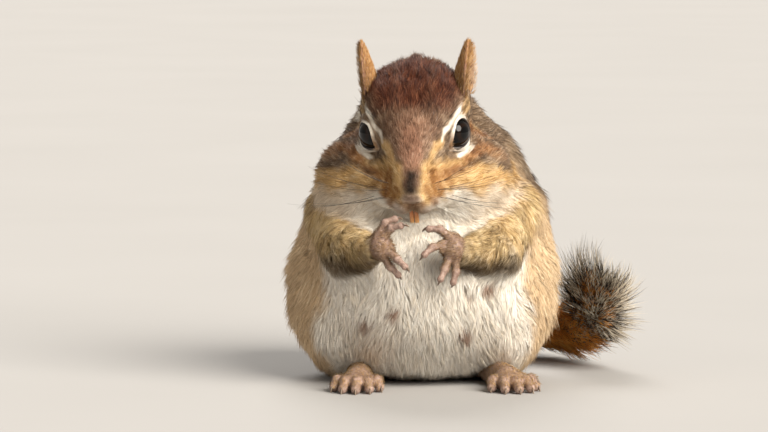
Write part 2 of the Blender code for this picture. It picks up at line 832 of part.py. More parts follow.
def part_flesh(flesh, home):
    """Parts the flesh into named solids, each cut HALF_GAP short of its neighbours."""
    zones = {"head": [Ball((0, 4, -6), (34, 24, 23), (0, 0, 0), HEAD)]}
    for side, word in ((1, "left"), (-1, "right")):
        zones[f"foreleg_{word}"] = foreleg_masses(side, 3.0)
        zones[f"thigh_{word}"] = [Ball((side * 24.0, 2, 19), (15.0, 22, 20), (15, 0, 0))]
    zones["neck"] = [Ball((0, 0, 60), (28, 24, 20))]
    made = {}
    taken = []
    for name, zone in zones.items():
        thing = copy_of(flesh, name, home)
        combine(thing, [joined(zone, -HALF_GAP, home)], "INTERSECT")
        if taken:
            combine(thing, [joined(other, HALF_GAP, home) for other in taken], "DIFFERENCE")
        taken.append(zone)
        keep_largest(thing)
        made[name] = thing
    thing = copy_of(flesh, "torso", home)
    combine(thing, [joined(other, HALF_GAP, home) for other in taken], "DIFFERENCE")
    keep_largest(thing)
    made["torso"] = thing
    return made


def main():
    for thing in list(bpy.data.objects):
        bpy.data.objects.remove(thing)
    parts = collection_for("chipmunk")
    forms = trunk_masses() + head_masses() + foreleg_masses(1) + foreleg_masses(-1)
    flesh = fused("flesh", forms, parts, voxel=0.7)
    thin_out(flesh, FLESH_TRIANGLES)
    body = copy_of(flesh, "body", parts, grow=GAP)
    frames = tail_frames()
    for side in (1, -1):
        wrist = Vector(LEFT_WRIST if side > 0 else RIGHT_WRIST)
        elbow = Vector((side * ELBOW[0], *ELBOW[1:]))
        ahead = (wrist - elbow).normalized()
        combine(flesh, [joined(hind_foot_masses(side, GAP)[0][:2], 0, parts)], "DIFFERENCE")
        combine(flesh, [behind(wrist - ahead * GAP, -ahead, 10)], "DIFFERENCE")
    pocket = tail_core(frames, 0.0, 0.3, GAP)
    combine(flesh, [floor_block(), pocket], "DIFFERENCE")
    made = part_flesh(flesh, parts)
    carve_face(made["head"])
    keep_largest(made["head"])
    for side, word in ((1, "left"), (-1, "right")):
        made[f"ear_{word}"] = ear(side, shape_of(body), parts)
        eye = Ball(eye_place(side), EYE_RADIUS, (0, 0, 0), HEAD).shell(0, 16)
        made[f"eye_{word}"] = object_from(eye, f"eye_{word}", parts)
        made[f"forepaw_{word}"] = forepaw(side, parts)
        made[f"hind_foot_{word}"] = hind_foot(side, parts)
    made["incisors"] = incisors(parts)
    for name, low, high in TAIL_PARTS:
        made[name] = tail_part(name, frames, low, high, shape_of(body), parts)
    remove([flesh, body])
    for name, thing in made.items():
        thing.data.transform(Matrix.Scale(METRES, 4))
        finish(thing, *COLOURS.get(name, COLOURS.get(name.split("_")[0], ((0.5, 0.4, 0.3), 0.85))))


main()
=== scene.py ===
"""An eastern chipmunk sitting up on its haunches, life size, dressed as a still museum model.

One skin is blended from the rounded masses of head, trunk, haunches and folded forelegs, and carries
a coat of single solid hairs that lie as they do on the live animal. Eyes, teeth, claws, ears, paws,
feet and tail are made on their own. Lengths are millimetres until they become a mesh in metres.
"""

import json
import math
import random

import bmesh
import bpy
import numpy as np
from mathutils import Euler, Matrix, Vector
from mathutils.bvhtree import BVHTree
from mathutils.kdtree import KDTree

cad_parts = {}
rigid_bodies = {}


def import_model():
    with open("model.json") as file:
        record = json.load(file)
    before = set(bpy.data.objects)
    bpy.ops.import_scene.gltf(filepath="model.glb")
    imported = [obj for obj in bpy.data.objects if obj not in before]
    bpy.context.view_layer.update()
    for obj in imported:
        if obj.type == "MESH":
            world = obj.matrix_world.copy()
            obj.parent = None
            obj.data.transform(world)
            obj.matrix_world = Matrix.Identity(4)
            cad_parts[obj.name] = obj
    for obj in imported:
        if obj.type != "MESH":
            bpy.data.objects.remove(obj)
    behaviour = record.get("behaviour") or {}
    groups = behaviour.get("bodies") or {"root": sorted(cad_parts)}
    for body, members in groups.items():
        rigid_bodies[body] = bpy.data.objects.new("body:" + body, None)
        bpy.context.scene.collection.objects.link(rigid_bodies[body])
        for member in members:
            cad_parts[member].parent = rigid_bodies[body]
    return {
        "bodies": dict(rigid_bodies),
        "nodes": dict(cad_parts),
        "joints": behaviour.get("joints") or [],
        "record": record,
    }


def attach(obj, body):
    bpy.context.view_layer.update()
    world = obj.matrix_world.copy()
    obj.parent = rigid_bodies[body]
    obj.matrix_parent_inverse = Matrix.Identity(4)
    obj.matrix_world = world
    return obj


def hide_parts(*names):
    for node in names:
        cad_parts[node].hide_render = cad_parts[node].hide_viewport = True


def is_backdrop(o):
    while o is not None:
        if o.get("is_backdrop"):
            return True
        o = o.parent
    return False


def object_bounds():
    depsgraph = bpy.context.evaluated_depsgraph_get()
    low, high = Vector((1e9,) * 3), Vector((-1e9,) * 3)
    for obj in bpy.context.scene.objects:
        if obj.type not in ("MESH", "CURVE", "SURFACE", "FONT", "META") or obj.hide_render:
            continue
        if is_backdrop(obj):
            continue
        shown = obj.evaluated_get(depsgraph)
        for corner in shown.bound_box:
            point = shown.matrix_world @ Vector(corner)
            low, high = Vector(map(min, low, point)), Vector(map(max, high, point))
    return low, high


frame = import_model()
solids_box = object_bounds()
METRES = 0.001
WORLD = Matrix.Identity(4)
workshop = bpy.data.collections.new("chipmunk")
bpy.context.scene.collection.children.link(workshop)

# Camera
# It stands where the photographer's did, level with the animal and five degrees above it, far
# enough back that the animal is hardly drawn in perspective.

CAMERA_RAISED = math.radians(5)
CAMERA_AWAY = 1200
camera_up = Vector((0, math.sin(CAMERA_RAISED), math.cos(CAMERA_RAISED)))
camera_back = Vector((0, -math.cos(CAMERA_RAISED), math.sin(CAMERA_RAISED)))
camera_data = bpy.data.cameras.new("camera")
camera_data.sensor_width = 36
camera_data.lens = 36 * 3.9 * CAMERA_AWAY / 768
camera_data.clip_start = 0.05
camera_data.clip_end = 50
camera = bpy.data.objects.new("camera", camera_data)
bpy.context.scene.collection.objects.link(camera)
camera.location = (Vector((-9.6, 0, 0)) + camera_up * 41.7 + camera_back * CAMERA_AWAY) * METRES
camera.rotation_euler = (math.radians(90) - CAMERA_RAISED, 0, 0)
bpy.context.scene.camera = camera

# Studio
# A pale matt floor that reaches past the edges of every view, a broad warm light from the front
# left of the animal, a weaker one from behind it, and the even light of a pale room.


class Wire:
    """One output of a material's nodes, on which sums can be written."""

    def __init__(self, finish, socket):
        self.finish = finish
        self.socket = socket

    def sum(self, operation, first, second=0.0):
        return self.finish.node("ShaderNodeMath", {"operation": operation}, {0: first, 1: second})

    def __add__(self, other):
        return self.sum("ADD", self, other)

    def __sub__(self, other):
        return self.sum("SUBTRACT", self, other)

    def __mul__(self, other):
        return self.sum("MULTIPLY", self, other)

    def __pow__(self, other):
        return self.sum("POWER", self, other)

    def __rsub__(self, other):
        return self.sum("SUBTRACT", other, self)

    __radd__ = __add__
    __rmul__ = __mul__


class Finish:
    """A material in the making, with one method for every kind of node."""

    def __init__(self, name, roughness=0.6, **constants):
        self.material = bpy.data.materials.new(name)
        self.material.use_nodes = True
        self.tree = self.material.node_tree
        self.surface = self.tree.nodes["Principled BSDF"]
        self.surface.inputs["Roughness"].default_value = roughness
        for socket, value in constants.items():
            self.surface.inputs[socket.replace("_", " ")].default_value = value

    def node(self, kind, settings=None, values=None, output=0):
        made = self.tree.nodes.new(kind)
        for name, value in (settings or {}).items():
            if name == "stops":
                self.set_stops(made.color_ramp, value)
            else:
                setattr(made, name, value)
        for key, value in (values or {}).items():
            if isinstance(value, Wire):
                self.tree.links.new(value.socket, made.inputs[key])
            else:
                made.inputs[key].default_value = value
        return Wire(self, made.outputs[output])

    def set_stops(self, ramp, stops):
        while len(ramp.elements) < len(stops):
            ramp.elements.new(1.0)
        for element, (place, colour) in zip(ramp.elements, stops):
            element.position = place
            element.color = (*colour, 1)

    def ramp(self, share, *stops):
        return self.node("ShaderNodeValToRGB", {"stops": stops}, {0: share})

    def blend(self, low, high, share, mode="MIX"):
        settings = {"data_type": "RGBA", "blend_type": mode}
        low, high = (c if isinstance(c, Wire) else (*c, 1) for c in (low, high))
        return self.node("ShaderNodeMix", settings, {0: share, 6: low, 7: high}, 2)

    def shaded(self, colour, amount):
        """The colour times a number."""
        return self.blend(colour, (amount,) * 3, 1.0, "MULTIPLY")

    def parts(self, name):
        """The three numbers of an attribute."""
        whole = self.node("ShaderNodeAttribute", {"attribute_name": name}, output="Vector")
        split = self.node("ShaderNodeSeparateXYZ", {}, {0: whole})
        return [Wire(self, output) for output in split.socket.node.outputs]

    def place(self):
        return self.node("ShaderNodeTexCoord", output="Object")

    def noise(self, scale, detail=2.0, rough=0.5, where=None):
        """Cloudy noise with this many waves to a metre, from 0 to 1."""
        values = {"Vector": where or self.place(), "Scale": scale, "Detail": detail}
        return self.node("ShaderNodeTexNoise", {}, {**values, "Roughness": rough}, "Fac")

    def between(self, share, low, high):
        """0 below low, 1 above high, and smooth between them."""
        settings = {"interpolation_type": "SMOOTHSTEP"}
        return self.node("ShaderNodeMapRange", settings, {0: share, 1: low, 2: high})

    def colour(self, value):
        self.link("Base Color", value)

    def link(self, socket, value):
        self.tree.links.new(value.socket, self.surface.inputs[socket])

    def bump(self, height, depth, strength=1.0):
        """Raises the surface by the height times a depth in metres."""
        values = {"Height": height, "Distance": depth, "Strength": strength}
        self.link("Normal", self.node("ShaderNodeBump", {}, values, "Normal"))


room = bpy.data.worlds.new("room")
bpy.context.scene.world = room
room.use_nodes = True
room.node_tree.nodes["Background"].inputs[0].default_value = (1.0, 0.95, 0.88, 1)
room.node_tree.nodes["Background"].inputs[1].default_value = 0.34

floor_shape = bmesh.new()
bmesh.ops.create_grid(floor_shape, x_segments=4, y_segments=4, size=8)
floor_mesh = bpy.data.meshes.new("floor")
floor_shape.to_mesh(floor_mesh)
floor_shape.free()
floor = bpy.data.objects.new("floor", floor_mesh)
bpy.context.scene.collection.objects.link(floor)
paper = Finish("floor_paper", 0.9)
paper.colour(paper.blend((0.37, 0.355, 0.34), (0.40, 0.385, 0.37), paper.noise(9, 3)))
floor_mesh.materials.append(paper.material)
floor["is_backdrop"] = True

for name, place, width, power, tint in (
    ("key", (640, -710, 620), 44, 6.6, (1.0, 0.955, 0.88)),
    ("fill", (-600, -640, 420), 60, 0.30, (1.0, 0.93, 0.84)),
    ("rim", (-60, 640, 640), 30, 1.9, (1.0, 0.98, 0.95)),
):
    light_data = bpy.data.lights.new(name, "SUN")
    light_data.angle = math.radians(width)
    light_data.energy = power
    light_data.color = tint
    light = bpy.data.objects.new(name, light_data)
    light.location = Vector(place) * METRES
    light.rotation_euler = Vector(place).to_track_quat("Z", "Y").to_euler()
    bpy.context.scene.collection.objects.link(light)
bpy.context.scene.view_settings.view_transform = "Standard"

# Lie of the coat
# Guide hairs over the left half and the midline of the body. Each tells which way the hair runs
# there, how long it is, how far it stands up and how deep the coat is down to the skin.


def frame_at(place, turn, base=WORLD):
    """A frame at a place, turned by degrees about its X, Y and Z, inside another frame."""
    spin = Euler([math.radians(angle) for angle in turn], "XYZ").to_matrix().to_4x4()
    return base @ Matrix.Translation(place) @ spin


# Head frame: its origin is midway between the eyes, -Y runs to the nose and +X to the left ear.
HEAD = frame_at((-1.9, -20, 64.5), (33, -1, -5))

# Place, way, length, rise in degrees and depth, in the head's frame
HEAD_GUIDES = (
    ((0, -19.6, -4.0), (0, 0.7, 0.7), 0.6, 12, 0.10),
    ((0, -16.5, -0.5), (0, 0.9, 0.5), 1.0, 16, 0.22),
    ((2.6, -18.4, -5.5), (0.6, 0.7, 0.3), 0.7, 14, 0.12),
    ((0, -11, 3.2), (0, 1, 0.5), 1.7, 16, 0.40),
    ((3.6, -11, 2.4), (0.25, 1, 0.4), 1.6, 16, 0.40),
    ((0, -5, 7.0), (0, 1, 0.5), 2.3, 20, 0.65),
    ((0, 1, 10.0), (0, 1, 0.4), 3.0, 21, 1.1),
    ((7, 0, 8.2), (0.12, 1, 0.3), 2.6, 22, 0.9),
    ((0, 9, 12.8), (0, 1, 0.1), 4.0, 30, 1.7),
    ((7, 10, 11.5), (0.1, 1, 0), 3.8, 28, 1.6),
    ((0, 18, 11.5), (0, 1, -0.4), 5.0, 26, 2.1),
    ((4.4, -16.5, -3.0), (0.55, 0.9, 0.1), 1.2, 16, 0.25),
    ((5.6, -15.2, -8.0), (0.75, 0.7, -0.1), 1.5, 18, 0.35),
    ((3.5, -17.6, -10.0), (0.7, 0.5, -0.5), 1.1, 16, 0.25),
    ((7.5, -11.5, -2.0), (0.5, 0.95, 0.1), 1.5, 14, 0.35),
    ((0, -13.6, -15.0), (0, 0.5, -0.9), 1.8, 18, 0.45),
    ((8.6, -6.5, 4.0), (0.35, 1, 0.35), 1.3, 10, 0.30),
    ((12.0, -4.5, -4.0), (0.5, 0.9, -0.1), 1.6, 12, 0.40),
    ((11.5, 1.5, 6.6), (0.3, 1, 0.1), 1.6, 12, 0.40),
    ((14.0, 4, -1.0), (0.35, 1, -0.25), 2.4, 16, 0.7),
    ((15.5, 9, -4.0), (0.3, 1, -0.35), 3.4, 20, 1.3),
    ((11.5, -10.5, -7.0), (0.75, 0.7, -0.1), 2.4, 18, 0.6),
    ((16.5, -7, -9.0), (0.75, 0.7, -0.15), 3.2, 18, 1.1),
    ((12.0, -12, -13.0), (0.75, 0.45, -0.5), 3.2, 18, 1.0),
    ((22, -1, -10.0), (0.55, 0.8, -0.35), 4.2, 21, 1.7),
    ((24, 2, -17.0), (0.5, 0.5, -0.75), 4.8, 23, 2.0),
    ((17, -8, -19.0), (0.5, 0.15, -0.85), 4.4, 21, 1.7),
    ((7, -11, -19.5), (0.2, 0.2, -1.0), 3.8, 20, 1.3),
    ((20, 12, -8.0), (0.35, 0.9, -0.5), 4.8, 25, 2.1),
    ((11.0, 6.5, 7.5), (0.1, 1, 0.25), 2.4, 22, 0.8),
    ((15.0, 17, 0.0), (0.3, 0.8, -0.4), 4.0, 23, 1.8),
    ((9, 19, 8.0), (0.25, 1, -0.4), 4.8, 25, 2.0),
)
# The same in the body's frame
BODY_GUIDES = (
    ((0, -25, 38), (0, -0.1, -1), 4.2, 21, 2.0),
    ((9, -24, 32), (0.35, -0.1, -1), 4.4, 22, 2.2),
    ((0, -30, 25), (0, 0, -1), 4.8, 23, 2.5),
    ((12, -28, 22), (0.3, 0.0, -1), 5.0, 24, 2.5),
    ((0, -28, 12), (0, 0.25, -1), 5.2, 23, 2.2),
    ((13, -24, 10), (0.3, 0.2, -1), 5.4, 24, 2.2),
    ((0, -26, 6), (0, -0.1, -1), 6.4, 28, 2.3),
    ((12, -23, 5.5), (0.2, -0.1, -1), 6.4, 28, 2.3),
    ((0, -18, 2), (0, 1.0, -0.4), 4.6, 11, 1.0),
    ((14, -14, 2), (0.5, 0.8, -0.4), 4.6, 11, 1.0),
    ((0, 5, 0), (0, 1, 0), 4.0, 7, 0.7),
    ((20, 8, 1), (0.7, 0.6, 0), 4.0, 10, 0.9),
    ((26, -16, 20), (0.45, 0.2, -1), 5.6, 25, 2.6),
    ((32, -4, 22), (0.3, 0.35, -1), 6.4, 25, 2.6),
    ((31, 0, 34), (0.35, 0.4, -1), 6.4, 26, 1.6),
    ((26, -10, 46), (0.5, 0.2, -1), 5.4, 24, 2.0),
    ((31, 5, 43), (0.4, 0.3, -1), 6.0, 26, 1.5),
    ((27, 4, 56), (0.5, 0.3, -1), 4.8, 21, 3.6),
    ((18, 8, 68), (0.6, 0.3, -0.9), 4.8, 22, 3.1),
    ((0, 16, 72), (0, 0.8, -0.7), 5.2, 23, 2.1),
    ((0, 28, 58), (0, 0.5, -1), 5.6, 20, 2.1),
    ((0, 38, 40), (0, 0.15, -1), 6.0, 18, 2.2),
    ((0, 37, 20), (0, 0.1, -1), 6.0, 20, 2.2),
    ((18, 32, 44), (0.25, 0.25, -1), 6.0, 20, 2.2),
    ((26, 22, 24), (0.3, 0.4, -1), 6.2, 21, 2.4),
    ((16, 34, 16), (0.15, 0.6, -1), 6.0, 21, 2.2),
    ((32, 4, 10), (0.25, 0.1, -1), 5.2, 17, 3.0),
    ((24, -18, 7), (0.1, -0.35, -1), 4.4, 16, 1.5),
    ((23, -12, 44), (0.15, -0.75, -0.75), 4.4, 20, 1.8),
    ((24, -22, 38), (-0.15, -0.7, -0.8), 4.2, 21, 1.7),
    ((20, -27, 36), (-0.65, -0.5, -0.55), 3.6, 21, 1.3),
    ((15, -30, 38), (-0.8, -0.55, -0.25), 3.0, 18, 0.9),
    ((14, -29, 32), (-0.6, -0.35, -0.7), 3.4, 23, 1.1),
    ((11, -32, 36.5), (-0.8, -0.6, -0.2), 2.2, 16, 0.45),
)


def guide_tables():
    places, ways, sizes = [], [], []
    for base, guides in ((HEAD, HEAD_GUIDES), (WORLD, BODY_GUIDES)):
        for place, way, *size in guides:
            for side in (1, -1) if place[0] else (1,):
                places.append(base @ Vector((side * place[0], *place[1:])))
                ways.append((base.to_3x3() @ Vector((side * way[0], *way[1:]))).normalized())
                sizes.append(size)
    return np.array(places), np.array(ways), np.array(sizes)


GUIDES = guide_tables()


def in_lots(work, points, lot=15000):
    """Runs work over a long list of points in lots, and joins what it returns."""
    return np.concatenate([work(points[start:start + lot]) for start in range(0, len(points), lot)])


def lie(points):
    """For each point: the way its hair runs, then length, rise and depth."""
    places, ways, sizes = GUIDES

    def one_lot(some):
        far = ((some[:, None, :] - places[None]) ** 2).sum(axis=2)
        pull = 1 / (far + 1.5) ** 2.2
        pull /= pull.sum(axis=1, keepdims=True)
        return np.concatenate([pull @ ways, pull @ sizes], axis=1)

    found = in_lots(one_lot, points)
    return found[:, :3], found[:, 3], found[:, 4], found[:, 5]


def unit(vectors):
    return vectors / np.maximum(np.linalg.norm(vectors, axis=-1, keepdims=True), 1e-9)


def smooth(value, low, high):
    """0 below low, 1 above high, and smooth between them."""
    share = np.clip((value - low) / (high - low), 0, 1)
    return share * share * (3 - 2 * share)


def in_head(points):
    """The same points in the head's frame."""
    turn = np.array(HEAD.to_3x3())
    return (points - np.array(HEAD.translation)) @ turn


# Skin
# The closed surface under the whole coat, blended from braincase, muzzle, lips, cheek pouches,
# trunk, haunches and folded forelegs. It lies below the coat's tips by the depth of the coat.

EYE_RADIUS = 4.4
EYE_PLACE = (9.4, -1.0, 0.8)
EYE_AXIS = (0.81, -0.47, 0.32)  # the way the left eye looks
LID = 0.95
SHOULDER, ELBOW = (22, -5, 44), (18.5, -21.5, 35.2)
LEFT_WRIST, RIGHT_WRIST = (10.3, -32.0, 35.3), (-13.2, -32.0, 36.0)


class Ball:
    """An ellipsoid with its centre and three radii, turned by degrees in a frame."""

    def __init__(self, centre, radii, turn=(0, 0, 0), frame=WORLD, blend=6.0, hollow=False):
        self.frame = frame_at(centre, turn, frame)
        self.radii = np.array([radii] * 3 if np.isscalar(radii) else radii, float)
        self.blend = blend
        self.hollow = hollow

    def distance(self, points):
        local = (points - np.array(self.frame.translation)) @ np.array(self.frame.to_3x3())
        reach = np.linalg.norm(local / self.radii, axis=1)
        slope = np.linalg.norm(local / self.radii**2, axis=1)
        return reach * (reach - 1) / np.maximum(slope, 1e-9)

    def shell(self, rounds=32):
        shape = bmesh.new()
        bmesh.ops.create_uvsphere(shape, u_segments=rounds, v_segments=rounds // 2, radius=1)
        stretch = Matrix.Diagonal((*self.radii, 1))
        bmesh.ops.transform(shape, matrix=self.frame @ stretch, verts=shape.verts)
        return shape


class Limb:
    """A taper with a round end at each of two joints."""

    def __init__(self, start, end, start_radius, end_radius, frame=WORLD, blend=4.0, hollow=False):
        self.start = frame @ Vector(start)
        self.end = frame @ Vector(end)
        self.start_radius = start_radius
        self.end_radius = end_radius
        self.blend = blend
        self.hollow = hollow

    def distance(self, points):
        along = np.array(self.end - self.start)
        offset = points - np.array(self.start)
        share = np.clip(offset @ along / (along @ along), 0, 1)
        gap = np.linalg.norm(offset - share[:, None] * along, axis=1)
        return gap - self.start_radius - share * (self.end_radius - self.start_radius)

    def shell(self, rounds=16):
        shape = bmesh.new()
        bmesh.ops.create_uvsphere(shape, u_segments=rounds, v_segments=rounds // 2 + 1, radius=1)
        along = self.end - self.start
        for point in shape.verts:
            ahead = point.co.z > 0
            radius = self.end_radius if ahead else self.start_radius
            point.co = point.co * radius + Vector((0, 0, along.length if ahead else 0))
        turn = along.to_track_quat("Z", "Y").to_matrix().to_4x4()
        bmesh.ops.transform(shape, matrix=Matrix.Translation(self.start) @ turn, verts=shape.verts)
        return shape


def both(make):
    """The two copies of a paired form: make is called with +1 for the left and -1 for the right."""
    return [make(side) for side in (1, -1)]


def eye_place(side):
    return (side * EYE_PLACE[0], *EYE_PLACE[1:])


def head_ball(centre, radii, turn=(0, 0, 0), blend=5.0, hollow=False):
    return Ball(centre, radii, turn, HEAD, blend, hollow)


def foreleg_masses(side, grow=0.0):
    """Upper arm and forearm of one side, folded in front of the chest."""
    wrist = LEFT_WRIST if side > 0 else RIGHT_WRIST
    shoulder, elbow = ((side * place[0], *place[1:]) for place in (SHOULDER, ELBOW))
    return [
        Limb(shoulder, elbow, 6.8 + grow, 6.0 + grow, blend=6),
        Limb(elbow, wrist, 6.0 + grow, 3.3 + grow, blend=3),
    ]


trunk_masses = [
    Ball((-1, 3, 64), (16, 16, 14), blend=8),
    Ball((1.5, 9, 52), (26.5, 20, 19), blend=10),
    Ball((1.5, -3, 41), (25.5, 19, 19), blend=8),
    Ball((1.5, 15, 37), (30.5, 24.5, 25), blend=10),
    Ball((0.5, -1, 25), (31.8, 29, 25), blend=10),
    Ball((0, 14, 21), (28, 25, 22.5), blend=8),
    *both(lambda side: Ball((side * 20.5, 3, 19), (13.2, 21, 18), (15, 0, 0), blend=7)),
]
head_masses = [
    head_ball((0, 10, 0), (13.0, 15.5, 12.5)),
    head_ball((0, -1, 1.0), (9.3, 12, 8.5)),
    head_ball((0, -8.0, -3.6), (7.0, 10.6, 6.6), (8, 0, 0)),
    head_ball((0, -14.0, -6.2), (4.7, 5.2, 4.5), blend=3),
    head_ball((0, -6.6, -13.4), (5.6, 7.5, 4.2), blend=2.5),
    head_ball((0, 6, -14), (12, 14, 10)),
    *both(lambda side: head_ball((side * 5.8, 6, 3.4), (7.6, 11, 8.4), blend=4)),
    *both(lambda side: head_ball((side * 4.0, -12.6, -8.4), (4.6, 5.6, 4.4), blend=2)),
    *both(lambda side: head_ball((side * 8.4, 3.0, -6.2), (5.2, 9.5, 7.0), blend=4)),
    *both(lambda side: head_ball((side * 8.6, -4.6, -9.6), (7.4, 8.6, 7.2), blend=6)),
    *both(lambda side: head_ball((side * 13.0 - 1.2, 1.5, -15.6), (12.2, 13.3, 11.6), blend=5)),
]
# The bowl of skin in front of each eye, and the ball of the eye with its lids in it
orbits = [
    *both(lambda side: head_ball((side * 14.4, -7.4, 1.8), 6.1, blend=1.6, hollow=True)),
    *both(lambda side: head_ball(eye_place(side), EYE_RADIUS + LID, blend=1.4)),
]
# Nose leather, its two wings and the lobes of the upper lip
face_masses = [
    head_ball((0, -18.5, -5.9), (2.3, 1.5, 1.7), blend=0.8),
    *both(lambda side: head_ball((side * 1.7, -18.3, -6.4), (1.3, 1.5, 1.3), blend=0.6)),
    *both(lambda side: head_ball((side * 2.3, -16.4, -9.2), (2.9, 2.9, 2.7), blend=0.9)),
    head_ball((0, -13.0, -14.4), (2.7, 2.4, 1.5), blend=1.0),
]
# The groove of the upper lip and the corners of the mouth
creases = [
    Limb((0, -20.2, -7.6), (0, -18.6, -12.4), 0.35, 0.45, HEAD, 0.5, hollow=True),
    *both(lambda side: Limb(
        (side * 1.8, -15.8, -12.7), (side * 7.0, -10.6, -12.4), 0.6, 0.4, HEAD, 0.8, hollow=True
    )),
]
flesh_masses = trunk_masses + head_masses + orbits + foreleg_masses(1) + foreleg_masses(-1)
flesh_masses += face_masses + creases


def blended_distance(points, forms):
    """Signed distance to the masses, each run smoothly into those before it or hollowed out of them."""
    total = forms[0].distance(points)
    for form in forms[1:]:
        other = form.distance(points)
        sign = -1 if form.hollow else 1
        share = np.clip(form.blend - np.abs(sign * total - other), 0, None) / form.blend
        total = sign * (np.minimum(sign * total, other) - share**2 * form.blend / 4)
    return total


def settle(points, forms, rounds, sunk=0.0):
    """Moves points straight onto the blended surface, or as far under it as sunk says."""
    step = 0.05
    for _ in range(rounds):
        here = blended_distance(points, forms) + sunk
        slope = np.empty_like(points)
        for axis in range(3):
            ahead = points.copy()
            ahead[:, axis] += step
            slope[:, axis] = (blended_distance(ahead, forms) + sunk - here) / step
        move = -(here / np.maximum((slope**2).sum(axis=1), 0.05))[:, None] * slope
        length = np.linalg.norm(move, axis=1, keepdims=True)
        points = points + move * np.minimum(1, 1.0 / np.maximum(length, 1e-9))
    return points


def evened(points, edges, rounds):
    """Slides each point towards the middle of its neighbours."""
    count = np.bincount(edges.ravel(), minlength=len(points))[:, None]
    for _ in range(rounds):
        total = np.stack([
            np.bincount(edges[:, 0], points[edges[:, 1], axis], len(points))
            + np.bincount(edges[:, 1], points[edges[:, 0], axis], len(points))
            for axis in range(3)
        ], axis=1)
        points = 0.5 * points + 0.5 * total / np.maximum(count, 1)
    return points


def object_from(shape, name):
    """An object from a bmesh, which is freed."""
    bmesh.ops.recalc_face_normals(shape, faces=shape.faces)
    mesh = bpy.data.meshes.new(name)
    shape.to_mesh(mesh)
    shape.free()
    made = bpy.data.objects.new(name, mesh)
    workshop.objects.link(made)
    return made


def apply_modifiers(thing):
    graph = bpy.context.evaluated_depsgraph_get()
    finished = bpy.data.meshes.new_from_object(thing.evaluated_get(graph))
    thing.modifiers.clear()
    old, thing.data = thing.data, finished
    bpy.data.meshes.remove(old)


def points_of(thing):
    points = np.empty(len(thing.data.vertices) * 3)
    thing.data.vertices.foreach_get("co", points)
    return points.reshape(-1, 3)


def move_points(thing, points):
    thing.data.vertices.foreach_set("co", np.ascontiguousarray(points).ravel())
    thing.data.update()


def edges_of(thing):
    edges = np.empty(len(thing.data.edges) * 2, int)
    thing.data.edges.foreach_get("vertices", edges)
    return edges.reshape(-1, 2)


def gathered(name, forms, voxel):
    """A rough closed surface round all the masses, on a grid of this size."""
    shape = bmesh.new()
    for form in forms:
        piece = form.shell()
        spare = bpy.data.meshes.new("mass")
        piece.to_mesh(spare)
        piece.free()
        shape.from_mesh(spare)
        bpy.data.meshes.remove(spare)
    thing = object_from(shape, name)
    grid = thing.modifiers.new("grid", "REMESH")
    grid.mode = "VOXEL"
    grid.voxel_size = voxel
    apply_modifiers(thing)
    return thing


def refine(thing, wanted):
    """Splits every edge both of whose ends are wanted."""
    shape = bmesh.new()
    shape.from_mesh(thing.data)
    shape.verts.ensure_lookup_table()
    chosen = [edge for edge in shape.edges if all(wanted[v.index] for v in edge.verts)]
    bmesh.ops.subdivide_edges(shape, edges=chosen, cuts=1, use_grid_fill=True)
    bmesh.ops.triangulate(shape, faces=[face for face in shape.faces if len(face.verts) > 4])
    shape.to_mesh(thing.data)
    shape.free()


def combine(thing, shapes, operation="DIFFERENCE", solver="MANIFOLD"):
    """Cuts or joins by closed bmeshes, all of them in one Boolean."""
    helpers = bpy.data.collections.new("cutters")
    bpy.context.scene.collection.children.link(helpers)
    for shape in shapes:
        cutter = object_from(shape, "cutter")
        workshop.objects.unlink(cutter)
        helpers.objects.link(cutter)
    change = thing.modifiers.new("combine", "BOOLEAN")
    change.operand_type = "COLLECTION"
    change.collection = helpers
    change.operation = operation
    change.solver = solver
    apply_modifiers(thing)
    for cutter in list(helpers.objects):
        mesh = cutter.data
        bpy.data.objects.remove(cutter)
        bpy.data.meshes.remove(mesh)
    bpy.data.collections.remove(helpers)


def loft(rings, tip=None):
    """A closed surface through rings of equal length, with a flat root and a flat or pointed end."""
    shape = bmesh.new()
    loops = [[shape.verts.new(point) for point in ring] for ring in rings]
    count = len(loops[0])
    for low, high in zip(loops, loops[1:]):
        for k in range(count):
            after = (k + 1) % count
            shape.faces.new((low[k], low[after], high[after], high[k]))
    shape.faces.new(loops[0][::-1])
    if tip is None:
        shape.faces.new(loops[-1])
    else:
        point = shape.verts.new(tip)
        for k in range(count):
            shape.faces.new((loops[-1][k], loops[-1][(k + 1) % count], point))
    bmesh.ops.recalc_face_normals(shape, faces=shape.faces)
    return shape


def eye_frame(side):
    """Three ways at an eye: outwards, ahead to its sharp corner by the nose, and above."""
    outward = Vector((side * EYE_AXIS[0], *EYE_AXIS[1:])).normalized()
    nasal = Vector((0, -0.8, -0.6))
    ahead = (nasal - outward * outward.dot(nasal)).normalized()
    return outward, ahead, ahead.cross(outward) * side


def lid_spread(turn, side):
    """Degrees between the eye's axis and its lid, where turn is 0 ahead and a quarter above.

    The right eye is a little more closed than the left one.
    """
    corner = np.exp(12 * (np.cos(turn - math.radians(20)) - 1))
    brow = np.exp(2.5 * (np.cos(turn - math.radians(95)) - 1))
    drooping = (side < 0) * np.exp(3 * (np.cos(turn - math.radians(160)) - 1))
    return 53 + 18 * corner - 8.5 * brow - 13 * drooping


def lid_line(side, count=48):
    """Ways from the eye's centre to its lids: a drop with its sharp corner to the nose."""
    outward, ahead, above = eye_frame(side)
    found = []
    for k in range(count):
        turn = 2 * math.pi * k / count
        spread = math.radians(lid_spread(turn, side))
        level = ahead * math.cos(turn) + above * math.sin(turn)
        found.append(outward * math.cos(spread) + level * math.sin(spread))
    return found


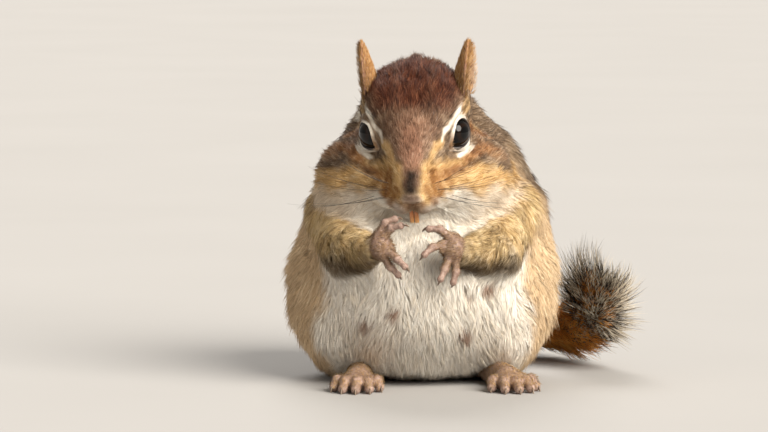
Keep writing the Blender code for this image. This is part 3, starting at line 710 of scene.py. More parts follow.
def eye_opening(side):
    """What opens the lids: from the eye's centre to the lid line, and then flaring outwards."""
    centre = Vector(eye_place(side))
    outward = sum(lid_line(side), Vector()).normalized()
    rings = []
    for reach, ahead in ((0.6, 0.0), (EYE_RADIUS + 0.2, 0.0), (EYE_RADIUS + 1.6, 4.0)):
        rings.append([HEAD @ (centre + reach * way + outward * ahead) for way in lid_line(side)])
    return loft(rings)


skin = gathered("skin", [form for form in flesh_masses if not form.hollow], 0.62)
skin_points = settle(points_of(skin), flesh_masses, 2)
skin_points = evened(skin_points, edges_of(skin), 3)
depth = lie(skin_points)[3]
skin_points = settle(skin_points, flesh_masses, 3, depth)
skin_points = evened(skin_points, edges_of(skin), 2)
move_points(skin, skin_points)
for reach in (10.5, 6.0):
    local = in_head(points_of(skin))
    wanted = np.linalg.norm(local - (0, -17.5, -8.0), axis=1) < reach
    for side in (1, -1):
        wanted |= np.linalg.norm(local - eye_place(side), axis=1) < reach - 3.6
    refine(skin, wanted)
skin_points = points_of(skin)
depth = lie(skin_points)[3]
skin_points = settle(skin_points, flesh_masses, 3, depth)
skin_points[:, 2] = np.maximum(skin_points[:, 2], 0.4)
move_points(skin, skin_points)
MOUTH, MOUTH_SIZE = (0, -15.3, -12.4), (4.6, 3.4, 1.35)
skin_cuts = [eye_opening(1), eye_opening(-1)]
skin_cuts.append(head_ball(MOUTH, MOUTH_SIZE).shell())
for side in (1, -1):
    skin_cuts.append(
        Ball((side * 1.5, -19.6, -7.0), (0.30, 1.1, 0.55), (0, side * 25, side * 42), HEAD).shell(16)
    )
combine(skin, skin_cuts)
move_points(skin, points_of(skin) * METRES)
skin.data.materials.clear()
skin.data.shade_smooth()
skin.data.set_sharp_from_angle(angle=math.radians(60))


def unwrap(thing, angle=66):
    """Lays the surface out flat in the map OFBake."""
    if not thing.data.uv_layers:
        thing.data.uv_layers.new(name="OFBake")
    thing.data.uv_layers[0].name = "OFBake"
    bpy.context.view_layer.objects.active = thing
    bpy.ops.object.select_all(action="DESELECT")
    thing.select_set(True)
    bpy.ops.object.mode_set(mode="EDIT")
    bpy.ops.mesh.select_all(action="SELECT")
    bpy.ops.uv.smart_project(angle_limit=math.radians(angle), island_margin=0.001)
    bpy.ops.object.mode_set(mode="OBJECT")


unwrap(skin)

# Markings
# The pattern of the species, as named strokes on the left half of the head and bands round the body, with painted
# shade in some of them: inside the mouth, along the forelegs' lower edge and at the outline of the shoulders. Skin
# and hair both carry it, as shares of pale, buff, rust, crown, black and olive hair.

# Kind, radius, soft edge, strength and the points that the stroke runs through, on the head
HEAD_STROKES = (
    ("crown", 8.0, 10.5, 1.0, ((0, 2.6, 9.8), (0, 14, 11.5))),
    ("crown", 5.0, 6.0, 1.0, ((6, 2, 8.4), (8, 8, 10), (8, 12, 9))),
    ("crown", 3.4, 5.0, 0.55, ((4.5, -5.6, 6.0), (4.5, -1, 8.0))),
    ("bridge", 4.2, 6.0, 0.8, ((0, -9.5, 4.4), (0, -7.2, 6.0))),
    ("crown", 2.8, 5.2, 0.85, ((0, -0.6, 9.2), (4.5, -1.2, 8.2))),
    ("bridge", 3.3, 2.2, 0.95, ((0, -12, 2.6), (0, -8, 5.2))),
    ("bridge", 2.3, 1.8, 0.95, ((0, -18, -2.2), (0, -12, 2.6))),
    ("buff", 1.1, 1.3, 0.9, ((8.3, -7.6, 2.6), (6.2, -9.9, 3.4), (4.9, -13.0, 1.2), (4.3, -15.8, -1.6))),
    ("buff", 3.2, 2.2, 0.7, ((14.5, 9, -3), (17, 14, -6), (14, 18, -2))),
    ("buff", 1.5, 1.2, 0.6, ((13.4, 6.5, 4.6), (12.4, 2.5, 5.6))),
    ("rust", 2.6, 2.0, 0.8, ((14.5, 5.1, -2.3), (16.9, 9, -6), (19.4, 12.2, -10.5))),
    ("rust", 2.6, 3.0, 0.55, ((16.5, 1.0, -5.5), (22.5, 4.0, -9.5))),
    ("rust", 1.6, 1.6, 0.85, ((19.6, 3.5, -8), (16.3, -1.0, -4.2), (13.8, -5.8, -4.6))),
    ("rust", 1.4, 1.5, 0.9, ((13.5, -7.4, -3.9), (11.1, -9.9, -3.9), (8.6, -12.2, -3.6))),
    ("dark", 0.5, 1.4, 0.7, ((20.6, 4.5, -9.4), (18.6, 0.3, -6.6), (16.4, -3.6, -5.6), (13.5, -7.4, -5.0))),
    ("dark", 0.35, 1.2, 0.6, ((13.5, -7.4, -4.6), (11.1, -9.9, -4.4), (9.0, -12, -3.9))),
    ("dark", 0.5, 0.9, 0.5, ((12.2, 0.8, 6.4), (12.9, 4.5, 5.4), (13.0, 7.5, 4.6))),
    ("dark", 0.4, 1.0, 0.4, ((11.4, 3.2, 9.0), (9.4, -2.6, 8.1), (7.4, -6.2, 6.6))),
    ("dark", 0.3, 0.8, 0.6, ((8.4, -8.5, 0.0), (7.0, -10.8, -1.0))),
    ("pale", 0.5, 0.8, 0.7, ((12.2, 2.0, 7.4), (11.9, 0.7, 7.2))),
    ("pale", 0.65, 0.8, 1.0, ((11.7, 0.3, 7.1), (10.3, -2.9, 6.2), (8.6, -5.9, 4.9))),
    ("pale", 0.75, 0.8, 0.9, ((8.6, -5.9, 5.0), (7.9, -7.6, 3.2))),
    ("pale", 0.6, 0.8, 1.0, ((9.6, -7.6, -1.6), (11.4, -5.4, -3.2), (13.0, -3.6, -2.8), (14.2, -1.0, -1.4))),
    ("pale", 0.4, 0.8, 0.6, ((14.2, -1.0, -1.4), (14.0, 1.2, 1.4), (12.9, 1.2, 4.6))),
    ("pale", 1.3, 1.0, 1.0, ((13.8, 19.5, -4.5), (15.2, 15.6, -7.0))),
    ("tan", 1.9, 1.8, 1.0, ((5.8, -14.4, -2.2), (6.3, -16.0, -6.0))),
    ("tan", 1.3, 1.4, 0.8, ((3.6, -17.4, -4.2), (5.2, -17.0, -8.4))),
    ("tan", 1.5, 1.8, 0.85, ((7.4, -12.4, -3.4), (8.6, -12.4, -6.6))),
    ("dark", 0.3, 0.9, 0.45, ((6.3, -15.8, -4.6), (6.6, -16.3, -6.8))),
    ("dark", 1.9, 3.0, 1.0, ((0, -17.0, -1.1), (0, -18.7, -3.4))),
    ("dark", 0.5, 1.4, 0.7, ((0, -18.7, -3.2), (0, -19.4, -5.0))),
    ("flush", 2.2, 1.6, 0.42, ((0, -19.2, -6.6), (0, -18.4, -10.6))),
    ("dark", 0.9, 1.6, 0.75, ((-1.2, -19.6, -5.4), (1.2, -19.6, -5.4))),
    ("dark", 1.5, 2.2, 0.55, ((0, -19.4, -6.0), (0, -18.6, -9.4))),
    ("flush", 1.8, 1.6, 0.55, ((1.6, -18.4, -8.4), (3.0, -17.4, -10.0))),
    # Inside the mouth: its darker skin, with painted shade in the gap between the lips
    ("dark", 0.8, 1.0, 0.85, ((0, -13.2, -12.4), (4.4, -13.6, -12.2))),
    ("dark", 0.35, 0.8, 0.8, ((0, -17.0, -12.0), (4.3, -16.6, -11.4), (6.4, -15.6, -11.4))),
)
NIPPLES = ((-15.1, -23.8, 15.7), (-8.1, -27.9, 18.7), (11.9, -27.9, 23.2), (10.7, -24.5, 12.8), (17.5, -25.5, 25))
KINDS = ("pale", "buff", "rust", "crown", "dark", "olive", "bridge", "tan", "flush")


def near_line(points, line):
    """Distance from each point to a line through several places."""
    nearest = np.full(len(points), 1e9)
    places = [np.array(place, float) for place in line]
    for start, end in zip(places, places[1:]):
        along = end - start
        offset = points - start
        share = np.clip(offset @ along / (along @ along), 0, 1)
        nearest = np.minimum(nearest, np.linalg.norm(offset - share[:, None] * along, axis=1))
    return nearest


def wander(points, size, seed):
    """Smooth noise from -1 to 1 with waves of about this size."""
    dice = np.random.default_rng(seed)
    total = np.zeros(len(points))
    for _ in range(6):
        wave = unit(dice.normal(size=3)) * 2 * math.pi / (size * dice.uniform(0.7, 1.6))
        total += np.sin(points @ wave + dice.uniform(0, 6.28))
    return total / 3.2


def round_body(points):
    """Degrees round the upright body: 0 at the middle of the belly and 180 at the spine."""
    return np.degrees(np.arctan2(np.abs(points[:, 0] - 0.8), -(points[:, 1] - 7)))


def markings(points):
    """Shares of each kind of hair at each point, as columns in the order of KINDS."""
    marks = {kind: np.zeros(len(points)) for kind in KINDS}
    ragged = 1.1 * wander(points, 7, 11) + 0.5 * wander(points, 2.4, 12)
    round_ = round_body(points) + 2.2 * ragged
    high = points[:, 2] + 0.9 * ragged
    local = in_head(points)
    face_up = 0.545 * local[:, 1] + 0.839 * local[:, 2]
    snout = np.exp(-((local[:, 0] / 4.6) ** 2)) * smooth(local[:, 2], -12.6, -10.8)
    head_share = 1 - smooth(head_zone.distance(points), -1.5, 1.5)
    arm = np.minimum.reduce([form.distance(points) for form in foreleg_masses(1) + foreleg_masses(-1)])
    arm_share = (1 - smooth(arm, -0.6, 1.2)) * (1 - head_share)

    # Body: white below, ochre flanks, five dark stripes with two pale ones between, rusty rump
    spread = 44 + 10 * smooth(-high, -24, -8) - 6 * smooth(high, 30, 44)
    marks["pale"] = (1 - smooth(round_, spread - 5, spread + 6)) * (1 - smooth(high, 58, 66))
    edge = 106 - 29 * smooth(high, 26, 46)
    marks["buff"] = smooth(round_, spread - 12, spread + 2) * (1 - smooth(round_, edge, edge + 18))
    marks["buff"] *= 1 - 0.62 * smooth(high, 39, 51)
    marks["pale"] += 0.22 * marks["buff"]
    arc = np.radians(180 - round_body(points)) * 30 + 0.5 * ragged
    length_share = smooth(high, 15, 22) * (1 - smooth(high, 64, 75))
    stripe = (1 - smooth(arc, 1.2, 2.6)) + smooth(arc, 11.5, 13.5) * (1 - smooth(arc, 16, 18))
    stripe += smooth(arc, 22.5, 24.5) * (1 - smooth(arc, 27, 29.5))
    marks["dark"] = 0.95 * stripe * length_share
    # Darker grizzled fur high on the shoulders' sides, partly painted shade along the body's outline
    marks["dark"] += 0.5 * smooth(high, 36, 52) * smooth(round_, 74, 90) * (1 - smooth(round_, 108, 122))
    light_stripe = smooth(arc, 16.2, 18.2) * (1 - smooth(arc, 21.8, 23.6)) * length_share
    marks["pale"] = np.maximum(marks["pale"], 0.9 * light_stripe)
    rump = smooth(-high, -26, -14) * smooth(round_, 70, 100)
    marks["rust"] = 0.85 * rump + 0.35 * smooth(arc, 27, 31) * (1 - smooth(arc, 36, 42))
    for kind in ("pale", "buff", "dark"):
        marks[kind] *= 1 - 0.8 * rump

    # Forelegs: olive-buff above, darker along the lower edge, partly dark hair and partly painted shade, and paler
    # inside
    for kind in ("pale", "buff", "rust", "dark"):
        marks[kind] *= 1 - arm_share
    marks["olive"] = arm_share
    marks["buff"] += 0.35 * arm_share * smooth(wander(points, 6, 13), -0.4, 0.8)
    # Painted shade, with some dark hair, along the forelegs' lower edge
    under = smooth(-high, -36.5, -32.0) * arm_share
    marks["dark"] += 0.85 * under
    marks["pale"] += 0.45 * arm_share * smooth(-high, -31, -28.5)

    # Head: white below, yellow-buff cheeks above it, then the strokes
    white = 1 - smooth(face_up + 1.2 * ragged + 6 * snout, -16.5, -12.5)
    top = -6.2 - 3.6 * smooth(np.abs(local[:, 0]), 13, 20)
    cheek = (1 - white) * (1 - smooth(face_up + 0.8 * ragged, top - 1.4, top + 1.4))
    forward = 1 - smooth(local[:, 1], 13, 20)
    cream = np.clip(cheek + (0.46 + 0.38 * smooth(np.abs(local[:, 0]), 7, 17)) * white, 0, 1)
    white = white * (1 - 0.45 * smooth(np.abs(local[:, 0]), 10, 20))
    for kind, share in (("pale", white * forward), ("buff", cream * forward)):
        marks[kind] = marks[kind] * (1 - head_share) + share * head_share
    for kind in ("rust", "dark", "olive"):
        marks[kind] *= 1 - head_share
    mirrored = local.copy()
    mirrored[:, 0] = np.abs(mirrored[:, 0])
    for kind, radius, soft, strength, line in HEAD_STROKES:
        far = near_line(mirrored, line) + 0.25 * ragged
        share = strength * (1 - smooth(far, radius - soft / 2, radius + soft / 2))
        for other in ("buff", "rust", "dark", "crown", "bridge", "pale"):
            if kind in ("pale", "bridge") and other != kind:
                marks[other] *= 1 - share
        if kind == "pale":
            marks["buff"] += 0.30 * share
        marks[kind] = np.maximum(marks[kind], share)
    margin, turn = lid_margin(local)
    ring = 1 - smooth(margin + 2 * ragged, 3, 8.5)
    ring *= 1 - 0.55 * np.exp(3 * (np.cos(turn - math.radians(185)) - 1))
    for kind in ("buff", "rust", "dark", "crown", "bridge", "tan"):
        marks[kind] *= 1 - ring
    nasal = ring * np.exp(6 * (np.cos(turn - math.radians(35)) - 1))
    marks["buff"] += 0.32 * ring
    marks["pale"] = np.maximum(marks["pale"], ring) * (1 - 0.75 * nasal)
    marks["tan"] = np.maximum(marks["tan"], 0.7 * nasal)
    for place in NIPPLES:
        far = np.linalg.norm(points - place, axis=1) + 0.35 * ragged
        marks["flush"] = np.maximum(marks["flush"], 0.9 - 0.9 * smooth(far, 2.1, 3.2))
    return np.clip(np.stack([marks[kind] for kind in KINDS], axis=1), 0, 1)


head_zone = Ball((0, 4, -6), (34, 24, 23), (0, 0, 0), HEAD)


def lid_margin(local):
    """Degrees outside the lids of the nearer eye, and the turn round it, at points of the head."""
    margins = []
    for side in (1, -1):
        offset = local - np.array(eye_place(side))
        outward, ahead, above = (offset @ np.array(way) for way in eye_frame(side))
        far = np.linalg.norm(offset, axis=1)
        turn = np.arctan2(above, ahead)
        spread = np.degrees(np.arccos(np.clip(outward / far, -1, 1)))
        margins.append((spread - lid_spread(turn, side) + 90 * (far > EYE_RADIUS + 2.4), turn))
    nearer = margins[0][0] < margins[1][0]
    return tuple(np.where(nearer, left, right) for left, right in zip(*margins))


def set_marks(mesh, marks):
    """Stores the shares as three attributes of three numbers."""
    for number, name in enumerate(("marks_a", "marks_b", "marks_c")):
        column = marks[:, 3 * number:3 * number + 3]
        layer = mesh.attributes.new(name, "FLOAT_VECTOR", "POINT")
        layer.data.foreach_set("vector", np.ascontiguousarray(column, dtype=np.float32).ravel())



# Dark, middle and light hairs of each kind
HAIR = {
    "back": ((0.050, 0.033, 0.024), (0.20, 0.13, 0.080), (0.48, 0.37, 0.26)),
    "crown": ((0.018, 0.0060, 0.0035), (0.086, 0.0245, 0.0112), (0.25, 0.098, 0.050)),
    "bridge": ((0.09, 0.042, 0.024), (0.325, 0.163, 0.100), (0.57, 0.36, 0.25)),
    "olive": ((0.15, 0.095, 0.045), (0.52, 0.37, 0.18), (0.88, 0.72, 0.47)),
    "buff": ((0.25, 0.135, 0.046), (0.60, 0.375, 0.158), (0.89, 0.70, 0.42)),
    "rust": ((0.070, 0.026, 0.010), (0.29, 0.125, 0.045), (0.56, 0.33, 0.15)),
    "pale": ((0.70, 0.61, 0.49), (0.92, 0.86, 0.77), (0.99, 0.97, 0.92)),
    "tan": ((0.11, 0.042, 0.011), (0.30, 0.135, 0.040), (0.54, 0.31, 0.12)),
    "dark": ((0.010, 0.006, 0.004), (0.030, 0.017, 0.011), (0.11, 0.075, 0.052)),
    "flush": ((0.11, 0.052, 0.032), (0.29, 0.155, 0.100), (0.50, 0.33, 0.235)),
}


def coat_colour(finish, tone):
    """The colour of hair or skin from its markings and a tone from 0, dark, to 1, light."""
    pale, buff, rust = finish.parts("marks_a")
    crown, dark, olive = finish.parts("marks_b")
    bridge, tan, flush = finish.parts("marks_c")
    colour = None
    for kind, share in (
        ("back", None), ("crown", crown), ("bridge", bridge), ("olive", olive), ("buff", buff),
        ("rust", rust), ("pale", pale), ("tan", tan), ("dark", dark), ("flush", flush),
    ):
        low, middle, light = HAIR[kind]
        hair = finish.ramp(tone, (0.0, low), (0.42, middle), (0.60, middle), (1.0, light))
        colour = hair if share is None else finish.blend(colour, hair, share)
    return colour


set_marks(skin.data, markings(points_of(skin) / METRES))
hide = Finish("skin_hide", 0.55)
fine = hide.noise(2600, 3)
# The skin wears the coat's colours darkened to 0.85: painted shade, as it lies under the hair
hide.colour(hide.shaded(coat_colour(hide, hide.noise(1400, 2) * 0.6 + 0.16), 0.85))
hide.bump(fine, 0.00012)
skin.data.materials.append(hide.material)
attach(skin, "root")
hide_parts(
    "head", "neck", "torso", "foreleg_left", "foreleg_right", "thigh_left", "thigh_right"
)

# Coat
# Guard hairs and underfur over the whole body, each one a thin solid spindle. They are shortest and closest on the
# muzzle, and lean together in loose tufts.


def hair_mesh(
    name, roots, up, ways, lengths, rises, widths, patches, marks, tones, pull=None, shift=None
):
    """Solid hairs: each rises from its root, bends at its thickest place and runs out to a point."""
    count = len(roots)
    steep = np.radians(rises * 1.4)[:, None]
    low = np.radians(rises * 0.6)[:, None]
    reach = lengths[:, None]
    knees = roots + (ways * np.cos(steep) + up * np.sin(steep)) * reach * 0.45
    tips = knees + (ways * np.cos(low) + up * np.sin(low)) * reach * 0.55
    if pull is not None:
        tips = pull(tips)
    tips[:, 2] = np.maximum(tips[:, 2], 0.15)
    knees[:, 2] = np.maximum(knees[:, 2], 0.3)
    chord = unit(tips - roots)
    side = unit(np.cross(chord, up))
    over = np.cross(side, chord)
    corners = np.empty((count, 5, 3))
    shine = np.empty((count, 5, 3))
    corners[:, 0] = roots - up * 0.15
    corners[:, 4] = tips
    shine[:, 0] = up
    shine[:, 4] = unit(up + 0.5 * chord)
    for k, turn in enumerate((90, 210, 330)):
        around = side * math.cos(math.radians(turn)) + over * math.sin(math.radians(turn))
        corners[:, 1 + k] = knees + around * widths[:, None] / 2
        shine[:, 1 + k] = unit(0.6 * up + 0.5 * around)
    one = np.array([[0, 1, 2], [0, 2, 3], [0, 3, 1], [4, 2, 1], [4, 3, 2], [4, 1, 3]])
    along = np.array([0, 0.45, 0.45, 0.45, 1.0])
    return spindle_mesh(name, corners, one, shine, patches, marks, tones, along, shift)


def spindle_mesh(name, corners, one, shine, patches, marks, tones, along, shift=None):
    """A mesh of many like spindles, with their map, markings and soft shading."""
    count, size = corners.shape[:2]
    shift = np.zeros(count) if shift is None else shift
    first, second, third = (corners[:, k] for k in one[0])
    outward = np.cross(second - first, third - first)
    middle = corners.mean(axis=1)
    if ((outward * ((first + second + third) / 3 - middle)).sum(axis=1) < 0).mean() > 0.5:
        one = one[:, ::-1]
    faces = (np.arange(count)[:, None, None] * size + one[None]).reshape(-1)
    mesh = bpy.data.meshes.new(name)
    mesh.vertices.add(count * size)
    mesh.vertices.foreach_set("co", (corners * METRES).astype(np.float32).ravel())
    mesh.loops.add(len(faces))
    mesh.loops.foreach_set("vertex_index", faces.astype(np.int32))
    mesh.polygons.add(len(faces) // 3)
    mesh.polygons.foreach_set("loop_start", np.arange(0, len(faces), 3, dtype=np.int32))
    mesh.update(calc_edges=True)
    angle = np.arange(size) * 2.4
    offsets = np.stack([np.cos(angle), np.sin(angle)], axis=1) * 0.0015
    spots = (patches[:, None, :] + offsets[None]).reshape(-1, 2)
    layer = mesh.uv_layers.new(name="OFBake")
    layer.uv.foreach_set("vector", spots[faces].astype(np.float32).ravel())
    set_marks(mesh, np.repeat(marks, size, axis=0))
    strand = np.zeros((count, size, 3), dtype=np.float32)
    strand[:, :, 0] = along
    strand[:, :, 1] = tones[:, None]
    strand[:, :, 2] = shift[:, None]
    layer = mesh.attributes.new("strand", "FLOAT_VECTOR", "POINT")
    layer.data.foreach_set("vector", strand.ravel())
    mesh.shade_smooth()
    mesh.normals_split_custom_set_from_vertices(shine.reshape(-1, 3).tolist())
    made = bpy.data.objects.new(name, mesh)
    workshop.objects.link(made)
    return made


class Ground:
    """The triangles of a surface, on which roots are sown by chance."""

    def __init__(self, thing):
        mesh = thing.data
        mesh.calc_loop_triangles()
        count = len(mesh.loop_triangles)
        corner = np.empty(count * 3, int)
        mesh.loop_triangles.foreach_get("vertices", corner)
        loops = np.empty(count * 3, int)
        mesh.loop_triangles.foreach_get("loops", loops)
        normals = np.empty(len(mesh.vertices) * 3)
        mesh.vertices.foreach_get("normal", normals)
        spots = np.empty(len(mesh.loops) * 2)
        mesh.uv_layers["OFBake"].uv.foreach_get("vector", spots)
        self.points = points_of(thing)[corner.reshape(-1, 3)] / METRES
        self.normals = normals.reshape(-1, 3)[corner.reshape(-1, 3)]
        self.spots = spots.reshape(-1, 2)[loops.reshape(-1, 3)]
        edges = self.points[:, 1:] - self.points[:, :1]
        self.areas = np.linalg.norm(np.cross(edges[:, 0], edges[:, 1]), axis=1) / 2
        self.middles = self.points.mean(axis=1)

    def sow(self, count, weights, dice):
        """Roots, their normals and their places on the map."""
        chance = self.areas * weights
        chosen = dice.choice(len(chance), count, p=chance / chance.sum())
        share = dice.random((count, 2))
        over = share.sum(axis=1) > 1
        share[over] = 1 - share[over]
        mix = np.stack([1 - share.sum(axis=1), share[:, 0], share[:, 1]], axis=1)[:, :, None]
        return (
            (self.points[chosen] * mix).sum(axis=1),
            unit((self.normals[chosen] * mix).sum(axis=1)),
            (self.spots[chosen] * mix).sum(axis=1),
        )


def bare(points):
    """1 where no hair grows: eyes, nose leather, inside of the mouth and the ends of the wrists."""
    local = in_head(points)
    found = (lid_margin(local)[0] < 2.5) * 1.0
    nose = near_line(local, ((-1.4, -19.4, -6.8), (1.4, -19.4, -6.8)))
    found = np.maximum(found, nose < 0.95)
    found = np.maximum(found, near_line(local, ((0, -19.6, -7.4), (0, -18.6, -10.6))) < 0.4)
    found = np.maximum(found, np.linalg.norm((local - MOUTH) / MOUTH_SIZE, axis=1) < 1.08)
    for side, wrist in ((1, LEFT_WRIST), (-1, RIGHT_WRIST)):
        ahead = np.array(wrist) - np.array((side * ELBOW[0], *ELBOW[1:]))
        offset = points - np.array(wrist)
        close = np.linalg.norm(offset, axis=1) < 4.5
        found = np.maximum(found, close * (offset @ unit(ahead) > 1.6))
    return found


skin_ground = Ground(skin)
skin_local = in_head(skin_ground.middles)
in_skull = head_zone.distance(skin_ground.middles) < 0
near_arm = np.minimum.reduce([
    form.distance(skin_ground.middles) for form in foreleg_masses(1) + foreleg_masses(-1)
]) < 0.6
skin_round = round_body(skin_ground.middles)
skin_face = in_skull & (skin_local[:, 1] < -1.5) & (np.abs(skin_local[:, 0]) < 12.5)
skin_face &= skin_local[:, 2] > -16
skin_crown = in_skull & ~skin_face & (skin_local[:, 2] > -3)
skin_cheek = in_skull & ~skin_face & ~skin_crown
skin_arm = near_arm & ~in_skull
skin_front = ~in_skull & ~skin_arm & (skin_round < 88)
skin_back = ~in_skull & ~skin_arm & (skin_round >= 88)
on_left = skin_ground.middles[:, 0] > -0.5
head_left = skin_local[:, 0] > 0

COATS = (
    ("coat_face", skin_face, 31000, "crown_fur"),
    ("coat_crown", skin_crown, 23500, "crown_fur"),
    ("coat_cheek_left", skin_cheek & head_left, 16500, "crown_fur"),
    ("coat_cheek_right", skin_cheek & ~head_left, 16500, "crown_fur"),
    ("coat_forelegs", skin_arm, 22500, "foreleg_fur"),
    ("coat_belly_left", skin_front & on_left, 24000, "body_fur"),
    ("coat_belly_right", skin_front & ~on_left, 24000, "body_fur"),
    ("coat_back_left", skin_back & on_left, 19500, "haunch_fur"),
    ("coat_back_right", skin_back & ~on_left, 19500, "haunch_fur"),
)

fur = Finish("fur", 0.65, Specular_IOR_Level=0.16)
fur_along, fur_tone, _ = fur.parts("strand")
# Painted shade: every hair is darker and warmer towards its root, deep in the coat, and a little brighter at its
# tip
fur_shade = fur.ramp(fur_along, (0.0, (0.76, 0.69, 0.60)), (0.4, (0.96, 0.945, 0.92)), (1.0, (1.05,) * 3))
fur_crown, _, _ = fur.parts("marks_b")
fur_pale, _, _ = fur.parts("marks_a")
fur_bridge, _, _ = fur.parts("marks_c")
fur_tick = fur.between(fur_along, 0.6, 0.9) * fur.between(fur_tone, 0.45, 0.8)
fur_tick = fur_tick * (0.36 - fur_crown * 0.36) * (1 - fur_pale) * (1 - fur_bridge * 0.7)
fur_plain = fur.blend(coat_colour(fur, fur_tone), (0.72, 0.60, 0.46), fur_tick)
fur.colour(fur.blend(fur_plain, fur_shade, 1.0, "MULTIPLY"))

ground_lie = lie(skin_ground.middles)[1]
no_hair = bare(skin_ground.middles)
for number, (name, region, count, slot) in enumerate(COATS):
    dice = np.random.default_rng(100 + number)
    weights = region * (1 - no_hair) * np.maximum(ground_lie, 0.9) ** -1.2
    weights *= 1 - 0.75 * (skin_ground.middles[:, 2] < 1.2)
    roots, up, patches = skin_ground.sow(count, weights, dice)
    keep = bare(roots) < 0.5
    roots, up, patches = roots[keep], up[keep], patches[keep]
    count = len(roots)
    ways, lengths, rises, _ = lie(roots)
    side = np.cross(up, ways)
    woolly = 1 - smooth(round_body(roots), 50, 75)
    swing = (0.30 + 0.22 * woolly) * wander(roots, 5, 31) + (0.16 + 0.12 * woolly) * wander(roots, 1.7, 32)
    swing = swing * smooth(lengths, 1.0, 3.5) + 0.10 * dice.normal(size=count)
    ways = ways + side * swing[:, None]
    ways = unit(ways - up * (ways * up).sum(axis=1)[:, None])
    tones = np.clip(
        0.5 + 0.20 * dice.normal(size=count) + 0.13 * wander(roots, 1.6, 33)
        + 0.08 * wander(roots, 6, 34), 0, 1
    )
    guard = tones < 0.22
    lengths = lengths * dice.uniform(0.72, 1.12, count) * np.where(guard, 1.22, 1.0)
    rises = rises * dice.uniform(0.75, 1.25, count) + 3.0 * wander(roots, 3, 35)
    rises = np.clip(rises + np.where(guard, 5, 0), 5, 60)
    widths = (0.075 + (0.016 - 0.003 * woolly) * lengths) * dice.uniform(0.8, 1.2, count)
    middles = dice.choice(count, count // 13, replace=False)
    tree = KDTree(len(middles))
    for index, middle in enumerate(middles):
        tree.insert(roots[middle], index)
    tree.balance()
    tuft = middles[[tree.find(root)[1] for root in roots]]

    def gather(tips, tuft=tuft, lengths=lengths, dice=dice):
        """Leans each tip towards the tip of the hair in the middle of its tuft."""
        share = dice.uniform(0.1, 0.62, len(tips)) * smooth(lengths, 1.0, 3.2)
        return tips + (tips[tuft] - tips) * share[:, None]

    coat = hair_mesh(
        name, roots, up, ways, lengths, rises, widths, patches,
        markings(roots + ways * lengths[:, None] * 0.5), tones, gather,
    )
    coat.data.materials.append(fur.material)
    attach(coat, "root")

# Eyes
# Wet black balls with a dark brown iris that hardly shows, set in thin dark lids. The lids are
# rims of bare skin round each opening, widest at the corner towards the nose.


def tube(points, radii, sides=8, closed=False):
    """A round rod through points, with a radius for each; closed makes it a ring."""
    shape = bmesh.new()
    count = len(points)
    loops = []
    for k, point in enumerate(points):
        before = points[(k - 1) % count] if closed else points[max(k - 1, 0)]
        after = points[(k + 1) % count] if closed else points[min(k + 1, count - 1)]
        ahead = (after - before).normalized()
        aside = ahead.cross(Vector((0.12, 0.93, 0.35))).normalized()
        over = ahead.cross(aside)
        loops.append([
            shape.verts.new(point + radii[k] * (aside * math.cos(turn) + over * math.sin(turn)))
            for turn in (2 * math.pi * m / sides for m in range(sides))
        ])
    pairs = list(zip(loops, loops[1:] + loops[:1])) if closed else list(zip(loops, loops[1:]))
    for low, high in pairs:
        for k in range(sides):
            after = (k + 1) % sides
            shape.faces.new((low[k], low[after], high[after], high[k]))
    if not closed:
        shape.faces.new(loops[0])
        shape.faces.new(loops[-1])
    return shape


def finished(thing, finish, slot, *nodes):
    """Brings a piece to metres, gives it its material and hands it to the body."""
    move_points(thing, points_of(thing) * METRES)
    thing.data.shade_smooth()
    thing.data.materials.append(finish.material)
    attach(thing, "root")
    if nodes:
        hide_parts(*nodes)
    return thing


wet = Finish("eye_wet", 0.05, IOR=1.42, Specular_IOR_Level=0.32)
look_x, look_y, look_z = wet.parts("looking")
iris = wet.between(look_x, 0.80, 0.86) * (1 - wet.between(look_x, 0.92, 0.95))
wet.colour(wet.blend((0.002, 0.0016, 0.0015), (0.009, 0.004, 0.002), iris))
rim_skin = Finish("lid_skin", 0.45)
rim_skin.colour(rim_skin.blend((0.012, 0.008, 0.007), (0.035, 0.022, 0.017), rim_skin.noise(900)))
for side, word in ((1, "left"), (-1, "right")):
    axis = Vector((side * EYE_AXIS[0], *EYE_AXIS[1:])).normalized()
    shape = bmesh.new()
    bmesh.ops.create_icosphere(shape, subdivisions=5, radius=EYE_RADIUS)
    looking = []
    for point in shape.verts:
        facing = point.co.normalized().dot(axis)
        swell = max(0.0, (facing - 0.72) / 0.28)
        point.co *= 1 + 0.035 * swell * (2 - swell)
        looking.append(facing)
    bmesh.ops.transform(shape, matrix=HEAD @ Matrix.Translation(eye_place(side)), verts=shape.verts)
    ball = object_from(shape, f"eyeball_{word}")
    layer = ball.data.attributes.new("looking", "FLOAT_VECTOR", "POINT")
    layer.data.foreach_set("vector", np.repeat(np.array(looking, dtype=np.float32), 3))
    finished(ball, wet, "eye", f"eye_{word}")
    ways = lid_line(side, 72)
    centre = Vector(eye_place(side))
    outward = sum(ways, Vector()).normalized()
    rim = [HEAD @ (centre + way * (EYE_RADIUS + 0.2)) for way in ways]
    thick = []
    for k in range(72):
        corner = max(0.0, math.cos(2 * math.pi * k / 72)) ** 8
        thick.append(0.27 + 0.15 * corner)
    lid = object_from(tube(rim, thick, 10, closed=True), f"lids_{word}")
    finished(lid, rim_skin, "eye")

# Incisors
# The two upper gnawing teeth, long and slightly curved, with orange enamel in front and a
# sharp, worn edge.

TOOTH_ROOT = (0, -16.2, -10.6)
TOOTH_LENGTH = 6.1
TOOTH_WIDTH = 1.15

